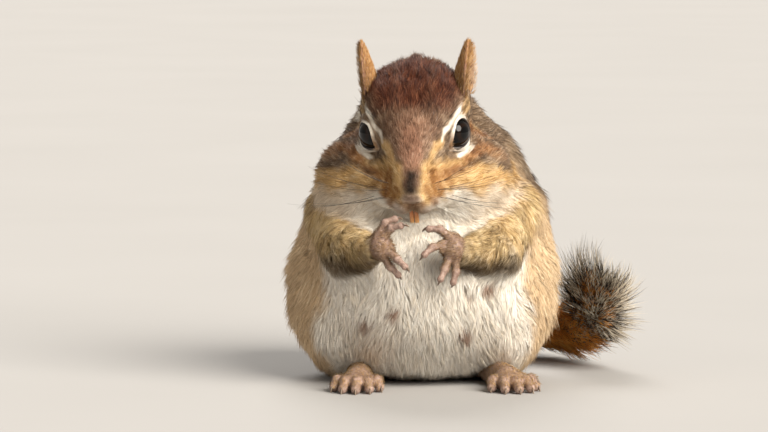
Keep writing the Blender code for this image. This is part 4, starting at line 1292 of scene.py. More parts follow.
enamel = Finish("tooth_enamel", 0.3, Coat_Weight=0.4, Coat_Roughness=0.15)
down, across_tooth, _ = enamel.parts("enamel")
streaks = enamel.noise(1500, 3)
orange = enamel.ramp(down + streaks * 0.2 - 0.1, (0.0, (0.30, 0.07, 0.012)), (0.45, (0.50, 0.16, 0.03)),
                     (0.85, (0.66, 0.30, 0.08)), (1.0, (0.82, 0.66, 0.42)))
enamel.colour(orange)
enamel.bump(streaks, 0.00004)
teeth_shape = bmesh.new()
for side in (1, -1):
    rings = []
    for step in range(13):
        share = step / 12
        bend = math.radians(24) * share
        middle = Vector((
            side * (TOOTH_WIDTH / 2 + 0.03),
            TOOTH_ROOT[1] + 1.6 * math.sin(bend),
            TOOTH_ROOT[2] - TOOTH_LENGTH * share,
        ))
        half = TOOTH_WIDTH / 2 * (1 - 0.12 * share)
        deep = 0.62 * (1 - 0.75 * share**2)
        rings.append([
            HEAD @ (middle + Vector((
                half * math.copysign(abs(math.cos(turn)) ** 0.6, math.cos(turn)),
                deep * math.copysign(abs(math.sin(turn)) ** 0.6, math.sin(turn)),
                0,
            )))
            for turn in (2 * math.pi * m / 16 for m in range(16))
        ])
    tooth = bpy.data.meshes.new("tooth")
    piece = loft(rings)
    piece.to_mesh(tooth)
    piece.free()
    teeth_shape.from_mesh(tooth)
    bpy.data.meshes.remove(tooth)
teeth = object_from(teeth_shape, "incisor_pair")
tooth_share = (TOOTH_ROOT[2] - in_head(points_of(teeth))[:, 2]) / TOOTH_LENGTH
layer = teeth.data.attributes.new("enamel", "FLOAT_VECTOR", "POINT")
layer.data.foreach_set("vector", np.repeat(tooth_share.astype(np.float32), 3))
finished(teeth, enamel, "tooth", "incisors")

# Ears
# Thin upright cups of skin, open to the side and curled in at the root, with a blunt tip. Short
# tan hair covers both faces, and the rear edge is pale.

EAR_ROOT = (11.4, 10.0, 4.0)
EAR_TIP = (13.6, 16.0, 16.6)
EAR_WIDTH = 11.0
EAR_ROWS, EAR_COLUMNS = 37, 27

ear_leather = Finish("ear_skin", 0.55)
ear_up, ear_across, ear_back = ear_leather.parts("ear")
ear_tone = ear_leather.noise(1500, 3)
ear_colour = ear_leather.ramp(ear_tone, (0.2, (0.20, 0.09, 0.055)), (0.6, (0.36, 0.18, 0.11)),
                              (1.0, (0.52, 0.30, 0.20)))
ear_leather.colour(ear_leather.blend(ear_colour, (0.10, 0.05, 0.035), 1 - ear_up))
ear_leather.bump(ear_tone, 0.0002)


def ear_surface(side):
    """The cup's middle surface: one row of points for each height, and their own two shares."""
    root = HEAD @ Vector((side * EAR_ROOT[0], *EAR_ROOT[1:]))
    tip = HEAD @ Vector((side * EAR_TIP[0], *EAR_TIP[1:]))
    lengthwise = (tip - root).normalized()
    outward = HEAD.to_3x3() @ Vector((side * 0.99, -0.16, 0.0))
    outward = (outward - lengthwise * outward.dot(lengthwise)).normalized()
    across = lengthwise.cross(outward)
    reach = (tip - root).length
    for row in range(EAR_ROWS):
        height = row / (EAR_ROWS - 1)
        over = max(0.0, (height - 0.35) / 0.65)
        half = EAR_WIDTH / 2 * (0.82 + 0.18 * min(1, height / 0.35)) * (1 - over**2.0) ** 0.6
        half = max(half, 0.4) * (0.45 + 0.55 * min(1, height / 0.24))
        roll = math.radians(86 - 48 * height**0.7)
        radius = half / math.sin(roll)
        line = []
        for column in range(EAR_COLUMNS):
            turn = roll * (2 * column / (EAR_COLUMNS - 1) - 1)
            inward = radius * (math.cos(turn) - 0.5 - 0.5 * math.cos(roll))
            line.append(
                root + lengthwise * reach * (height * 1.2 - 0.2)
                + across * radius * math.sin(turn) - outward * inward
            )
        yield height, line


def short_hairs(name, thing, count, weights, ways, lengths, rises, marks, seed, finish):
    """Short hair over a small piece; ways, lengths, rises and marks are worked out at its roots."""
    dice = np.random.default_rng(seed)
    ground = Ground(thing)
    roots, up, patches = ground.sow(count, weights(ground.middles), dice)
    run = ways(roots) + 0.15 * dice.normal(size=(count, 3))
    run = unit(run - up * (run * up).sum(axis=1)[:, None])
    long = lengths(roots) * dice.uniform(0.7, 1.15, count)
    rise = rises * dice.uniform(0.6, 1.3, count)
    tones = np.clip(0.5 + 0.22 * dice.normal(size=count), 0, 1)
    hair = hair_mesh(
        name, roots, up, run, long, rise, 0.075 + 0.02 * long, patches, marks(roots), tones
    )
    hair.data.materials.append(finish.material)
    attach(hair, "root")
    return hair


for side, word in ((1, "left"), (-1, "right")):
    shape = bmesh.new()
    grid = []
    shares = []
    for height, line in ear_surface(side):
        grid.append([shape.verts.new(point) for point in line])
        shares += [(height, column / (EAR_COLUMNS - 1)) for column in range(EAR_COLUMNS)]
    for low, high in zip(grid, grid[1:]):
        for k in range(EAR_COLUMNS - 1):
            shape.faces.new((low[k], low[k + 1], high[k + 1], high[k]))
    ear = object_from(shape, f"ear_cup_{word}")
    wall = ear.modifiers.new("wall", "SOLIDIFY")
    wall.thickness = 0.6
    wall.offset = 0
    wall.use_even_offset = True
    rounding = ear.modifiers.new("rounding", "SUBSURF")
    rounding.levels = rounding.render_levels = 1
    apply_modifiers(ear)
    flat_tree = KDTree(len(shares))
    flat_points = [point for _, line in ear_surface(side) for point in line]
    for index, point in enumerate(flat_points):
        flat_tree.insert(point, index)
    flat_tree.balance()
    found = np.array([shares[flat_tree.find(point)[1]] for point in points_of(ear)])
    layer = ear.data.attributes.new("ear", "FLOAT_VECTOR", "POINT")
    stored = np.column_stack([found, np.zeros(len(found))]).astype(np.float32)
    layer.data.foreach_set("vector", stored.ravel())
    finished(ear, ear_leather, "ear_skin", f"ear_{word}")
    unwrap(ear)
    ear_root = np.array(HEAD @ Vector((side * EAR_ROOT[0], *EAR_ROOT[1:])))
    ear_tip = np.array(HEAD @ Vector((side * EAR_TIP[0], *EAR_TIP[1:])))
    ear_long = unit(ear_tip - ear_root)
    ear_out = np.array((HEAD.to_3x3() @ Vector((0, 1, 0))))

    def ear_height(points, root=ear_root, long=ear_long, tip=ear_tip):
        return (points - root) @ long / np.linalg.norm(tip - root)

    def ear_rear(points, root=ear_root, out=ear_out):
        return (points - root) @ out

    def ear_marks(points, height=ear_height, rear=ear_rear):
        """Tan all over, darker towards the root in front, and pale along the rear edge."""
        marks = np.zeros((len(points), len(KINDS)))
        share = height(points)
        back = rear(points) - 5.2 * np.clip(share, 0, 1)
        marks[:, KINDS.index("buff")] = 0.9
        marks[:, KINDS.index("tan")] = 0.75 - 0.3 * smooth(back, 0.5, 3.0)
        marks[:, KINDS.index("pale")] = 0.5 * smooth(back, 3.0, 4.8)
        marks[:, KINDS.index("rust")] = 0.28
        marks[:, KINDS.index("dark")] = 0.05 + 0.32 * (1 - smooth(back, -4.8, -3.0))
        return marks

    short_hairs(
        f"ear_hair_{word}", ear, 4200,
        lambda points, height=ear_height: (height(points) > -0.02) * 1.0,
        lambda points, long=ear_long, out=ear_out, rear=ear_rear:
            long + 0.10 * out * (rear(points)[:, None]),
        lambda points, height=ear_height: 2.4 - 1.1 * np.clip(height(points), 0, 1),
        24, ear_marks, 300 + side, fur,
    )

# Forepaws
# Small grey-brown hands with four long fingers and a thumb stub, cupped under the chin. The skin
# is thin and creased, with short hair on its back.

FINGER_BONES = (2.6, 3.4, 2.6)
LEFT_FINGERS = ((75, 5, 0.1), (20, -40, 0.5), (-70, -66, 0.4), (-105, -78, 0.1))
RIGHT_FINGERS = ((100, 25, 0.1), (75, 20, 0.5), (-38, -42, 0.5), (-75, -45, 0.1))
CLAW_LENGTH = 2.3

paw_skin = Finish("paw_skin", 0.5)
paw_creases = paw_skin.noise(1300, 4, 0.65)
paw_fine = paw_skin.noise(5200, 2)
# Painted shade: the skin is darker down in its creases and paler on the ridges between them
paw_skin.colour(paw_skin.ramp(
    paw_creases * 0.8 + paw_fine * 0.25, (0.34, (0.13, 0.078, 0.058)), (0.5, (0.27, 0.172, 0.132)),
    (0.70, (0.44, 0.31, 0.25)),
))
paw_skin.bump(paw_creases * 0.7 + paw_fine * 0.3, 0.0002)


def settled(name, forms, voxel, rounds=2):
    """A fine closed surface blended from masses."""
    thing = gathered(name, forms, voxel)
    points = points_of(thing)
    edges = edges_of(thing)
    for _ in range(rounds):
        points = settle(evened(points, edges, 2), forms, 2)
    move_points(thing, points)
    return thing


def finger_points(side):
    """For each finger: knuckle, two joints and tip. Angles run up from the midline."""
    wrist = Vector(LEFT_WRIST if side > 0 else RIGHT_WRIST)
    palm = wrist + Vector((-side * 2.8, -1.8, 1.6))
    for first, second, forward in (LEFT_FINGERS if side > 0 else RIGHT_FINGERS):
        points = [palm.copy()]
        place = palm.copy()
        for turn, length in zip((first, (first + second) / 2, second), FINGER_BONES):
            angle = math.radians(turn)
            way = Vector((-side * math.cos(angle), -forward, math.sin(angle)))
            place = place + way.normalized() * length
            points.append(place.copy())
        yield points


claw_roots = []  # place, way ahead, way down and length of every claw
for side, word in ((1, "left"), (-1, "right")):
    wrist = Vector(LEFT_WRIST if side > 0 else RIGHT_WRIST)
    elbow = Vector((side * ELBOW[0], *ELBOW[1:]))
    ahead = (wrist - elbow).normalized()
    palm = wrist + Vector((-side * 2.6, -1.6, 1.4))
    forms = [
        Limb(wrist - ahead * 4, palm, 2.7, 2.5, blend=1.5),
        Ball(palm, (2.3, 2.6, 3.5), blend=1.5),
    ]
    for points in finger_points(side):
        radii = (1.15, 0.92, 0.82, 0.72)
        for k in range(3):
            forms.append(Limb(points[k], points[k + 1], radii[k], radii[k + 1], blend=0.7))
        for k in (1, 2):
            forms.append(Ball(points[k], radii[k] * 1.12, blend=0.4))
        bone = points[3] - points[2]
        forms.append(Ball(points[3] + Vector((-side * 0.15, 0.3, -0.25)), 0.85, blend=0.5))
        claw_roots.append((points[3] + bone * 0.02, bone, Vector((-side * 0.3, 0.75, -0.6)), CLAW_LENGTH))
    thumb = palm + Vector((-side * 2.4, -1.6, -0.2))
    forms.append(Limb(palm, thumb, 1.2, 0.95, blend=0.8))
    hand = settled(f"hand_{word}", forms, 0.24)
    finished(hand, paw_skin, "paw_skin", f"forepaw_{word}")
    unwrap(hand)
    back_way = np.array(ahead)

    def hand_marks(points):
        marks = np.zeros((len(points), len(KINDS)))
        marks[:, KINDS.index("olive")] = 0.5
        marks[:, KINDS.index("flush")] = 0.55
        return marks

    def hand_weights(points, palm=np.array(palm), ahead=back_way):
        """Hair on the wrist and the back of the hand, thinning towards the fingers."""
        return 1 - smooth(np.linalg.norm(points - palm, axis=1), 3.5, 8.0)

    short_hairs(
        f"hand_hair_{word}", hand, 2300, hand_weights,
        lambda points, palm=np.array(palm), ahead=back_way: ahead + 0.5 * unit(points - palm),
        lambda points, palm=np.array(palm):
            2.0 - 1.1 * smooth(np.linalg.norm(points - palm, axis=1), 2, 6),
        14, hand_marks, 320 + side, fur,
    )

# Hind feet
# Long narrow soles flat on the floor, each with five toes. Their upper side has close buff-brown
# hair that reaches the claws.

LEFT_HEEL, LEFT_SPLAY = (17.5, -6, 0), 14
RIGHT_HEEL, RIGHT_SPLAY = (-15.5, -6, 0), -2
# Toes from the inner one: place across the ball of the foot, splay in degrees and length
TOES = ((-3.9, -24, 4.2), (-2.1, -9, 6.6), (0.1, 1, 7.2), (2.3, 11, 6.6), (4.0, 26, 4.4))

for side, word in ((1, "left"), (-1, "right")):
    heel, splay = (LEFT_HEEL, LEFT_SPLAY) if side > 0 else (RIGHT_HEEL, RIGHT_SPLAY)
    place = frame_at(heel, (0, 0, splay))
    forms = [
        Limb((0, 0, 3.0), (0, -16, 2.6), 3.2, 3.2, place, blend=2),
        Ball((0, -19.5, 2.3), (4.8, 4.5, 2.5), (0, 0, 0), place, 2),
    ]
    for across, turn, length in TOES:
        turn = math.radians(turn)
        way = Vector((side * math.sin(turn), -math.cos(turn), 0))
        knuckle = Vector((side * across, -19.5 + 0.09 * across**2, 2.3))
        middle = knuckle + way * length * 0.55 + Vector((0, 0, 0.35))
        end = knuckle + way * length + Vector((0, 0, -0.95))
        forms += [
            Limb(knuckle, middle, 1.5, 1.25, place, blend=0.8),
            Limb(middle, end, 1.25, 1.05, place, blend=0.7),
            Ball(middle, 1.42, (0, 0, 0), place, 0.4),
            Ball(end + Vector((0, 0, -0.2)) - way * 0.3, 1.15, (0, 0, 0), place, 0.4),
        ]
        claw_roots.append((
            place @ (end + Vector((0, 0, 0.15))), place.to_3x3() @ way, Vector((0, 0, -0.55)), CLAW_LENGTH
        ))
    foot = settled(f"foot_{word}", forms, 0.32)
    points = points_of(foot)
    points[:, 2] = np.maximum(points[:, 2], 0.02)
    move_points(foot, points)
    finished(foot, paw_skin, "paw_skin", f"hind_foot_{word}")
    unwrap(foot)
    foot_way = np.array(place.to_3x3() @ Vector((0, -1, 0)))

    def foot_marks(points):
        marks = np.zeros((len(points), len(KINDS)))
        marks[:, KINDS.index("buff")] = 0.75
        marks[:, KINDS.index("flush")] = 0.15 + 0.3 * smooth(wander(points, 3, 51), -0.2, 0.8)
        return marks

    short_hairs(
        f"foot_hair_{word}", foot, 3600,
        lambda points: smooth(points[:, 2], 1.2, 2.6),
        lambda points, way=foot_way: way + 0 * points,
        lambda points: 1.3 + 0 * points[:, 0],
        14, foot_marks, 340 + side, fur,
    )

# Claws
# Small curved claws of brown horn with a paler tip, one on each finger and toe. One claw is made
# once, and is set on every root by its size and turn.

horn = Finish("claw_horn", 0.35, Coat_Weight=0.25)
claw_tip, _, _ = horn.parts("claw")
horn.colour(horn.blend(
    horn.ramp(claw_tip, (0.0, (0.055, 0.030, 0.020)), (0.6, (0.16, 0.10, 0.065)), (1.0, (0.48, 0.38, 0.28))),
    (0.02, 0.012, 0.008), horn.noise(2200) * 0.35,
))


def one_claw():
    """A claw of unit length along +X that curves down to -Z."""
    rings = []
    for step in range(9):
        share = step / 9
        bend = math.radians(58) * share
        middle = Vector((share * math.cos(bend), 0, -share * math.sin(bend)))
        radius = 0.20 * (1 - share**1.7) + 0.02
        face = Vector((-math.sin(bend), 0, -math.cos(bend)))
        rings.append([
            middle + radius * (Vector((0, 0.62, 0)) * math.cos(turn) + face * math.sin(turn))
            for turn in (2 * math.pi * m / 10 for m in range(10))
        ])
    bend = math.radians(60)
    return loft(rings, Vector((math.cos(bend), 0, -math.sin(bend))))


def tree_for(name, *inputs):
    """A Geometry Nodes tree with named inputs, and its input and output nodes."""
    tree = bpy.data.node_groups.new(name, "GeometryNodeTree")
    tree.interface.new_socket("Geometry", in_out="INPUT", socket_type="NodeSocketGeometry")
    tree.interface.new_socket("Geometry", in_out="OUTPUT", socket_type="NodeSocketGeometry")
    for label, kind, value in inputs:
        socket = tree.interface.new_socket(label, in_out="INPUT", socket_type=kind)
        if value is not None:
            socket.default_value = value
    return tree, tree.nodes.new("NodeGroupInput"), tree.nodes.new("NodeGroupOutput")


def grown(thing, tree, values):
    """Runs a Geometry Nodes tree on an object, with its inputs set by name, and keeps the mesh."""
    change = thing.modifiers.new("grow", "NODES")
    change.node_group = tree
    for item in tree.interface.items_tree:
        if item.in_out == "INPUT" and item.name in values:
            change[item.identifier] = values[item.name]
    apply_modifiers(thing)
    return thing


claw_shape = object_from(one_claw(), "claw_shape")
claw_share = np.clip(np.linalg.norm(points_of(claw_shape), axis=1), 0, 1).astype(np.float32)
layer = claw_shape.data.attributes.new("claw", "FLOAT_VECTOR", "POINT")
layer.data.foreach_set("vector", np.repeat(claw_share, 3))
claw_shape.data.materials.append(horn.material)
claw_shape.data.shade_smooth()
claw_tree, entry, leave = tree_for(
    "claws on roots", ("Claw", "NodeSocketObject", None), ("Scale", "NodeSocketFloat", 1.0),
    ("Horn", "NodeSocketMaterial", None),
)
pick = claw_tree.nodes.new("GeometryNodeObjectInfo")
turn_read = claw_tree.nodes.new("GeometryNodeInputNamedAttribute")
turn_read.data_type = "FLOAT_VECTOR"
turn_read.inputs["Name"].default_value = "turn"
size_read = claw_tree.nodes.new("GeometryNodeInputNamedAttribute")
size_read.data_type = "FLOAT"
size_read.inputs["Name"].default_value = "size"
times = claw_tree.nodes.new("ShaderNodeMath")
times.operation = "MULTIPLY"
turned = claw_tree.nodes.new("FunctionNodeEulerToRotation")
spread_out = claw_tree.nodes.new("GeometryNodeInstanceOnPoints")
real = claw_tree.nodes.new("GeometryNodeRealizeInstances")
coated = claw_tree.nodes.new("GeometryNodeSetMaterial")
for start, end in (
    (entry.outputs["Claw"], pick.inputs["Object"]),
    (entry.outputs["Geometry"], spread_out.inputs["Points"]),
    (pick.outputs["Geometry"], spread_out.inputs["Instance"]),
    (turn_read.outputs["Attribute"], turned.inputs[0]),
    (turned.outputs[0], spread_out.inputs["Rotation"]),
    (size_read.outputs["Attribute"], times.inputs[0]),
    (entry.outputs["Scale"], times.inputs[1]),
    (times.outputs[0], spread_out.inputs["Scale"]),
    (spread_out.outputs[0], real.inputs[0]),
    (real.outputs[0], coated.inputs["Geometry"]),
    (entry.outputs["Horn"], coated.inputs["Material"]),
    (coated.outputs[0], leave.inputs[0]),
):
    claw_tree.links.new(start, end)
claw_points = bpy.data.meshes.new("claws")
claw_points.from_pydata([root for root, _, _, _ in claw_roots], [], [])
turns = []
for _, ahead, down, _ in claw_roots:
    ahead = ahead.normalized()
    side_way = ahead.cross(down.normalized()).normalized()
    over = ahead.cross(side_way).normalized()
    if over.dot(down) > 0:
        over = -over
    basis = Matrix((ahead, over.cross(ahead), over)).transposed()
    turns += list(basis.to_euler("XYZ"))
layer = claw_points.attributes.new("turn", "FLOAT_VECTOR", "POINT")
layer.data.foreach_set("vector", turns)
layer = claw_points.attributes.new("size", "FLOAT", "POINT")
layer.data.foreach_set("value", [length for *_, length in claw_roots])
claws = bpy.data.objects.new("claws", claw_points)
workshop.objects.link(claws)
grown(claws, claw_tree, {"Claw": claw_shape, "Scale": 1.12, "Horn": horn.material})
bpy.data.objects.remove(claw_shape)
claw_places = points_of(claws)
claw_places[:, 2] = np.maximum(claw_places[:, 2], 0.03)
move_points(claws, claw_places * METRES)
claws.data.shade_smooth()
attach(claws, "root")

# Tail
# A thin fleshy tail with a core of rufous underfur and long banded guard hair that spreads flat
# to both sides: rufous at the root, then black, with a frosted grey tip.

TAIL_BEND = ((4, 32, 10), (13, 44, 8.5), (27, 46, 8), (37, 38, 8.5), (42, 28, 10.5), (45, 20, 14), (46.5, 15, 19))
TAIL_BACKS = ((0, 0, 1), (0.45, 0.55, 0.7), (0.25, 0.95, 0.2))
TAIL_LENGTH = 80.0
TAIL_UNDER = unit(np.array((-0.60, -0.70, -0.40)))  # the way its rufous underside faces
TAIL_FAN = unit(np.array((-0.70, 0.20, 0.70)))  # the way the hair of its end fans out farthest


def tail_course(count=80):
    """Points along the tail, from a smooth curve through TAIL_BEND."""
    knots = [Vector(point) for point in TAIL_BEND]
    knots = [2 * knots[0] - knots[1], *knots, 2 * knots[-1] - knots[-2]]
    points = []
    spans = len(knots) - 3
    for k in range(count):
        place = k / (count - 1) * spans
        span = min(int(place), spans - 1)
        t = place - span
        a, b, c, d = knots[span:span + 4]
        points.append(0.5 * (
            2 * b + (c - a) * t + (2 * a - 5 * b + 4 * c - d) * t**2 + (3 * b - a - 3 * c + d) * t**3
        ))
    return points


def tail_frames():
    """Stations along the tail as arrays: share, place, direction and the way its back faces."""
    points = tail_course()
    lengths = [0.0]
    for a, b in zip(points, points[1:]):
        lengths.append(lengths[-1] + (b - a).length)
    root_back, middle_back, tip_back = (Vector(back).normalized() for back in TAIL_BACKS)
    rows = []
    for k, point in enumerate(points):
        ahead = (points[min(k + 1, len(points) - 1)] - points[max(k - 1, 0)]).normalized()
        share = lengths[k] / lengths[-1]
        if share < 0.5:
            back = root_back.lerp(middle_back, share * 2)
        else:
            back = middle_back.lerp(tip_back, share * 2 - 1)
        back = (back - ahead * back.dot(ahead)).normalized()
        rows.append((share, *point, *ahead, *back))
    return np.array(rows)


TAIL = tail_frames()


def tail_at(shares):
    """Place, direction and back at each share of the tail's length, or straight on past its ends."""
    inside = np.clip(shares, 0, 1)
    columns = np.stack([np.interp(inside, TAIL[:, 0], TAIL[:, k]) for k in range(1, 10)], axis=1)
    place, ahead, back = columns[:, :3], unit(columns[:, 3:6]), unit(columns[:, 6:])
    beyond = (shares - inside) * TAIL_LENGTH
    return place + ahead * beyond[:, None], ahead, back


def tail_core_radius(share):
    return 3.8 + 2.4 * share - 4.0 * share**2 + np.minimum(share, 0) * 8


core_rings = []
for share in np.linspace(-0.12, 1.04, 66):
    place, ahead, back = (Vector(row[0]) for row in tail_at(np.array([share])))
    side = ahead.cross(back)
    radius = (tail_core_radius(min(share, 1)) - 1.5) * math.sqrt(max(0.02, 1 - max(0, share - 0.94) / 0.11))
    core_rings.append([
        place + side * radius * 1.15 * math.cos(turn) + back * radius * 0.9 * math.sin(turn)
        for turn in (2 * math.pi * m / 28 for m in range(28))
    ])
tail_core = object_from(loft(core_rings), "tail_core")
core_fur = Finish("tail_underfur", 0.7)
core_fur.colour(core_fur.ramp(
    core_fur.noise(1600, 3), (0.25, (0.05, 0.02, 0.008)), (0.55, (0.16, 0.06, 0.014)),
    (0.85, (0.32, 0.13, 0.03)),
))
core_fur.bump(core_fur.noise(2600, 3), 0.0004)
finished(tail_core, core_fur, "tail_fur", "tail_base", "tail_middle", "tail_end")
unwrap(tail_core)

tail_fur = Finish("tail_guard_hair", 0.6, Specular_IOR_Level=0.18)
hair_along, hair_tone, hair_under = tail_fur.parts("strand")
banded = hair_along + hair_tone * 0.16 - 0.08 - hair_under * 0.85
rufous = tail_fur.ramp(hair_tone, (0.0, (0.42, 0.13, 0.016)), (0.5, (0.86, 0.34, 0.05)), (1.0, (0.96, 0.56, 0.16)))
black = tail_fur.ramp(hair_tone, (0.0, (0.008, 0.005, 0.004)), (1.0, (0.045, 0.028, 0.018)))
frost = tail_fur.ramp(hair_tone, (0.0, (0.30, 0.23, 0.15)), (1.0, (0.80, 0.70, 0.55)))
banded_colour = tail_fur.blend(rufous, black, tail_fur.between(banded, 0.30, 0.42))
frosted = tail_fur.between(banded, 0.54, 0.68) * tail_fur.between(hair_tone, 0.22, 0.42)
tail_fur.colour(tail_fur.blend(banded_colour, frost, frosted))


def tail_roots(count, low, high, dice):
    """Roots by chance round the tail, with all that a hair needs to know of its place."""
    share = low + (high - low) * dice.random(count)
    turn = dice.uniform(0, 2 * math.pi, count)
    place, ahead, back = tail_at(share)
    out = np.cross(ahead, back) * np.cos(turn)[:, None] + back * np.sin(turn)[:, None]
    flat = np.abs(np.cos(turn))
    radius = (tail_core_radius(np.clip(share, 0, 1)) - 1.9) * (0.9 + 0.25 * flat)
    radius = radius * np.clip((1.05 - share) / 0.1, 0.15, 1)
    roots = place + out * radius[:, None]
    under = smooth(out @ TAIL_UNDER, -0.5, 0.3)
    patches = np.stack([0.02 + 0.96 * np.clip(share, 0, 1), 0.02 + 0.96 * turn / (2 * math.pi)], axis=1)
    return share, roots, ahead, out, flat, under, patches


def tail_underfur(name, count, low, high, seed):
    """Close rufous wool over the core, with dark tips on the upper side."""
    dice = np.random.default_rng(seed)
    share, roots, ahead, out, flat, under, patches = tail_roots(count, low, high, dice)
    lengths = (4.0 + 3.0 * flat) * dice.uniform(0.7, 1.2, count) * (0.5 + 0.5 * smooth(share, 0, 0.2))
    rises = (24 + 12 * flat) * dice.uniform(0.6, 1.3, count) * (0.4 + 0.6 * smooth(share, 0, 0.25))
    ways = unit(ahead + 0.22 * dice.normal(size=(count, 3)))
    ways = unit(ways - out * (ways * out).sum(axis=1)[:, None])
    tones = np.clip(0.5 + 0.24 * dice.normal(size=count), 0, 1)
    far = smooth(share, 0.58, 0.82)
    shift = (0.3 + 0.55 * under) * (1 - far) - 0.2 * far
    wool = hair_mesh(
        name, roots, out, ways, lengths, rises, np.full(count, 0.2), patches,
        np.zeros((count, len(KINDS))), tones, None, shift,
    )
    wool.data.materials.append(tail_fur.material)
    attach(wool, "root")


def tail_hairs(name, count, low, high, seed):
    """Long guard hairs that leave the core forwards and outwards, longest to the sides."""
    dice = np.random.default_rng(seed)
    share, roots, ahead, out, flat, under, patches = tail_roots(count, low, high, dice)
    inner = under * (1 - 0.95 * smooth(share, 0.66, 0.88))
    tip = smooth(share, 0.6, 0.95)
    lengths = 14.5 * (0.52 + 0.48 * np.maximum(flat, 0.4 * tip)) * (0.78 + 0.30 * share)
    lengths *= dice.uniform(0.6, 1.12, count)
    lengths *= 1 - 0.42 * under * (1 - smooth(share, 0.35, 0.6))
    lengths = lengths * (0.45 + 0.55 * smooth(share, 0.0, 0.2))
    fan = tip * smooth(out @ TAIL_FAN, 0.2, 0.9)
    lengths *= 1 + 0.32 * fan
    rises = (10 + 29 * flat + 10 * tip * flat) * dice.uniform(0.75, 1.2, count)
    rises = rises + 6 * wander(roots, 5, 41) + 3 * dice.normal(size=count)
    rises *= 1 - 0.4 * under * (1 - flat)
    rises += 12 * fan
    rises = rises * (0.3 + 0.7 * smooth(share, 0.02, 0.25))
    swing = 0.32 * wander(roots, 4, 42) + 0.10 * dice.normal(size=count)
    curl = dice.normal(0, 6, count) + 22 * wander(roots, 5, 44)
    aside = np.cross(ahead, out)
    tones = np.clip(0.5 + 0.22 * dice.normal(size=count) + 0.16 * wander(roots, 2.2, 43), 0, 1)
    leaders = dice.choice(count, count // 14, replace=False)
    tree = KDTree(len(leaders))
    for index, leader in enumerate(leaders):
        tree.insert(roots[leader], index)
    tree.balance()
    lock = leaders[[tree.find(root)[1] for root in roots]]
    loose = dice.uniform(0.35, 1.0, count)[:, None]
    corners = np.empty((count, 8, 3))
    shine = np.empty((count, 8, 3))
    where = roots - out * 0.4
    corners[:, 0] = where
    shine[:, 0] = out
    last = 0.0
    widths = dice.uniform(0.10, 0.19, count)
    bends = ((0.35, 4, 1.0, 0.12), (0.74, -9, 0.8, 0.45), (1.0, -20, 0.0, 0.62))
    for ring, (stage, bend, thick, together) in enumerate(bends):
        angle = np.radians(rises + bend + curl * (stage - 0.35))[:, None]
        way = ahead * np.cos(angle) + out * np.sin(angle) + aside * (swing * (0.4 + stage))[:, None]
        way = unit(way)
        where = where + way * (lengths * (stage - last))[:, None]
        last = stage
        gathered_here = where + (where[lock] - where) * together * loose
        if ring == 2:
            corners[:, 7] = gathered_here
            shine[:, 7] = unit(out + 0.4 * way)
            break
        across = unit(np.cross(way, out))
        over = np.cross(across, way)
        for k, spin in enumerate((90, 210, 330)):
            around = across * math.cos(math.radians(spin)) + over * math.sin(math.radians(spin))
            corners[:, 1 + 3 * ring + k] = gathered_here + around * (widths * thick / 2)[:, None]
            shine[:, 1 + 3 * ring + k] = unit(0.5 * out + 0.6 * around)
    corners[:, :, 2] = np.maximum(corners[:, :, 2], 0.15)
    one = [[0, 1, 2], [0, 2, 3], [0, 3, 1]]
    for k in range(3):
        after = (k + 1) % 3
        one += [[1 + k, 4 + k, 4 + after], [1 + k, 4 + after, 1 + after], [4 + k, 7, 4 + after]]
    marks = np.zeros((count, len(KINDS)))
    along = np.array([0.0, 0.35, 0.35, 0.35, 0.74, 0.74, 0.74, 1.0])
    hair = spindle_mesh(name, corners, np.array(one), shine, patches, marks, tones, along, inner)
    hair.data.materials.append(tail_fur.material)
    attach(hair, "root")


tail_underfur("tail_wool", 7000, -0.06, 1.0, 402)
tail_hairs("tail_hair", 12500, -0.04, 1.03, 401)

# Whiskers
# Stiff tapered hairs from rows of dark spots on each side of the muzzle, a few more over the eyes
# and on the chin. They sweep out and back, mostly black, and the lowest ones are pale.

WHISKER_ROOTS = (
    (5.6, -15.6, -4.0), (6.4, -14.6, -4.6), (7.4, -13.4, -5.0), (5.9, -15.9, -5.6), (6.9, -14.8, -6.4),
    (8.0, -13.4, -6.8), (5.8, -16.2, -7.4), (6.9, -14.9, -8.2), (8.0, -13.3, -8.6), (5.2, -16.6, -9.0),
    (6.2, -15.3, -10.0),
)


def whisker_lines():
    """The course of each whisker as a line of points, and whether it is pale."""
    dice = random.Random(7)
    for side in (1, -1):
        for number, root in enumerate(WHISKER_ROOTS):
            row = number // 3
            lift = (0.55, 0.12, -0.22, -0.75)[row] + dice.uniform(-0.14, 0.14)
            length = (17, 22, 24, 12)[row] * dice.uniform(0.75, 1.1)
            way = Vector((side * (0.95 + dice.uniform(-0.1, 0.1)), -0.10 + dice.uniform(-0.15, 0.15), lift))
            yield side, root, way.normalized(), length, row == 3
        for root, way in (((8.4, -5.2, 6.6), (0.5, -0.3, 0.8)), ((9.4, -3.2, 7.4), (0.7, -0.1, 0.75))):
            yield side, root, Vector((side * way[0], *way[1:])).normalized(), 8.5, False
        yield side, (2.2, -14.4, -15.6), Vector((side * 0.25, -0.2, -1)).normalized(), 6.0, True


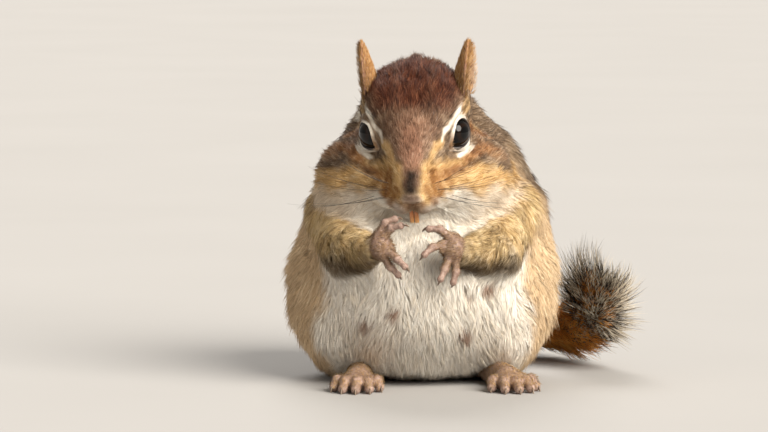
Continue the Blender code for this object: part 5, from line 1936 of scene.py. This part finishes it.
skin_tree = BVHTree.FromObject(skin, bpy.context.evaluated_depsgraph_get())
whisker_hair = Finish("whisker", 0.35)
whisker_pale, _, _ = whisker_hair.parts("whisker")
whisker_hair.colour(whisker_hair.blend((0.012, 0.009, 0.008), (0.78, 0.74, 0.66), whisker_pale))
line_points, line_edges, line_pale, line_far = [], [], [], []
for side, root, way, length, pale in whisker_lines():
    start = HEAD @ Vector((side * root[0], *root[1:]))
    near = skin_tree.find_nearest(start * METRES)[0] / METRES
    way = HEAD.to_3x3() @ way
    backwards = HEAD.to_3x3() @ Vector((side * 0.05, 1.0, -0.12))
    first = len(line_points)
    place = near - way * 0.5
    for step in range(13):
        share = step / 12
        line_points.append(place.copy())
        line_pale.append(1.0 if pale else 0.0)
        line_far.append(share)
        if step:
            line_edges.append((first + step - 1, first + step))
        bend = (way + backwards * 0.75 * share).normalized()
        place = place + bend * length / 12
whisker_mesh = bpy.data.meshes.new("whiskers")
whisker_mesh.from_pydata(line_points, line_edges, [])
layer = whisker_mesh.attributes.new("whisker", "FLOAT_VECTOR", "POINT")
layer.data.foreach_set("vector", np.repeat(np.array(line_pale, dtype=np.float32), 3))
layer = whisker_mesh.attributes.new("taper", "FLOAT", "POINT")
layer.data.foreach_set("value", [1 - 0.85 * share for share in line_far])
whiskers = bpy.data.objects.new("whiskers", whisker_mesh)
workshop.objects.link(whiskers)
whisker_tree, entry, leave = tree_for(
    "whiskers on lines", ("Radius", "NodeSocketFloat", 0.1), ("Hair", "NodeSocketMaterial", None)
)
curved = whisker_tree.nodes.new("GeometryNodeMeshToCurve")
taper_read = whisker_tree.nodes.new("GeometryNodeInputNamedAttribute")
taper_read.data_type = "FLOAT"
taper_read.inputs["Name"].default_value = "taper"
thinned = whisker_tree.nodes.new("GeometryNodeSetCurveRadius")
section = whisker_tree.nodes.new("GeometryNodeCurvePrimitiveCircle")
section.inputs["Resolution"].default_value = 6
swept = whisker_tree.nodes.new("GeometryNodeCurveToMesh")
swept.inputs["Fill Caps"].default_value = True
real = whisker_tree.nodes.new("GeometryNodeRealizeInstances")
coated = whisker_tree.nodes.new("GeometryNodeSetMaterial")
for start, end in (
    (entry.outputs["Geometry"], curved.inputs["Mesh"]),
    (curved.outputs[0], thinned.inputs["Curve"]),
    (taper_read.outputs["Attribute"], thinned.inputs["Radius"]),
    (entry.outputs["Radius"], section.inputs["Radius"]),
    (thinned.outputs[0], swept.inputs["Curve"]),
    (section.outputs["Curve"], swept.inputs["Profile Curve"]),
    (swept.outputs[0], real.inputs[0]),
    (real.outputs[0], coated.inputs["Geometry"]),
    (entry.outputs["Hair"], coated.inputs["Material"]),
    (coated.outputs[0], leave.inputs[0]),
):
    whisker_tree.links.new(start, end)
if "Scale" in swept.inputs:
    whisker_tree.links.new(taper_read.outputs["Attribute"], swept.inputs["Scale"])
grown(whiskers, whisker_tree, {"Radius": 0.07, "Hair": whisker_hair.material})
move_points(whiskers, points_of(whiskers) * METRES)
whiskers.data.shade_smooth()
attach(whiskers, "root")

# Size
# The box of the solids and the box of the dressed animal are set side by side as the script's last value, so that
# the two can be compared.

bpy.context.view_layer.update()
boxes = {"solids": solids_box, "dressed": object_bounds()}
{name: [list(map(float, corner)) for corner in box] for name, box in boxes.items()}
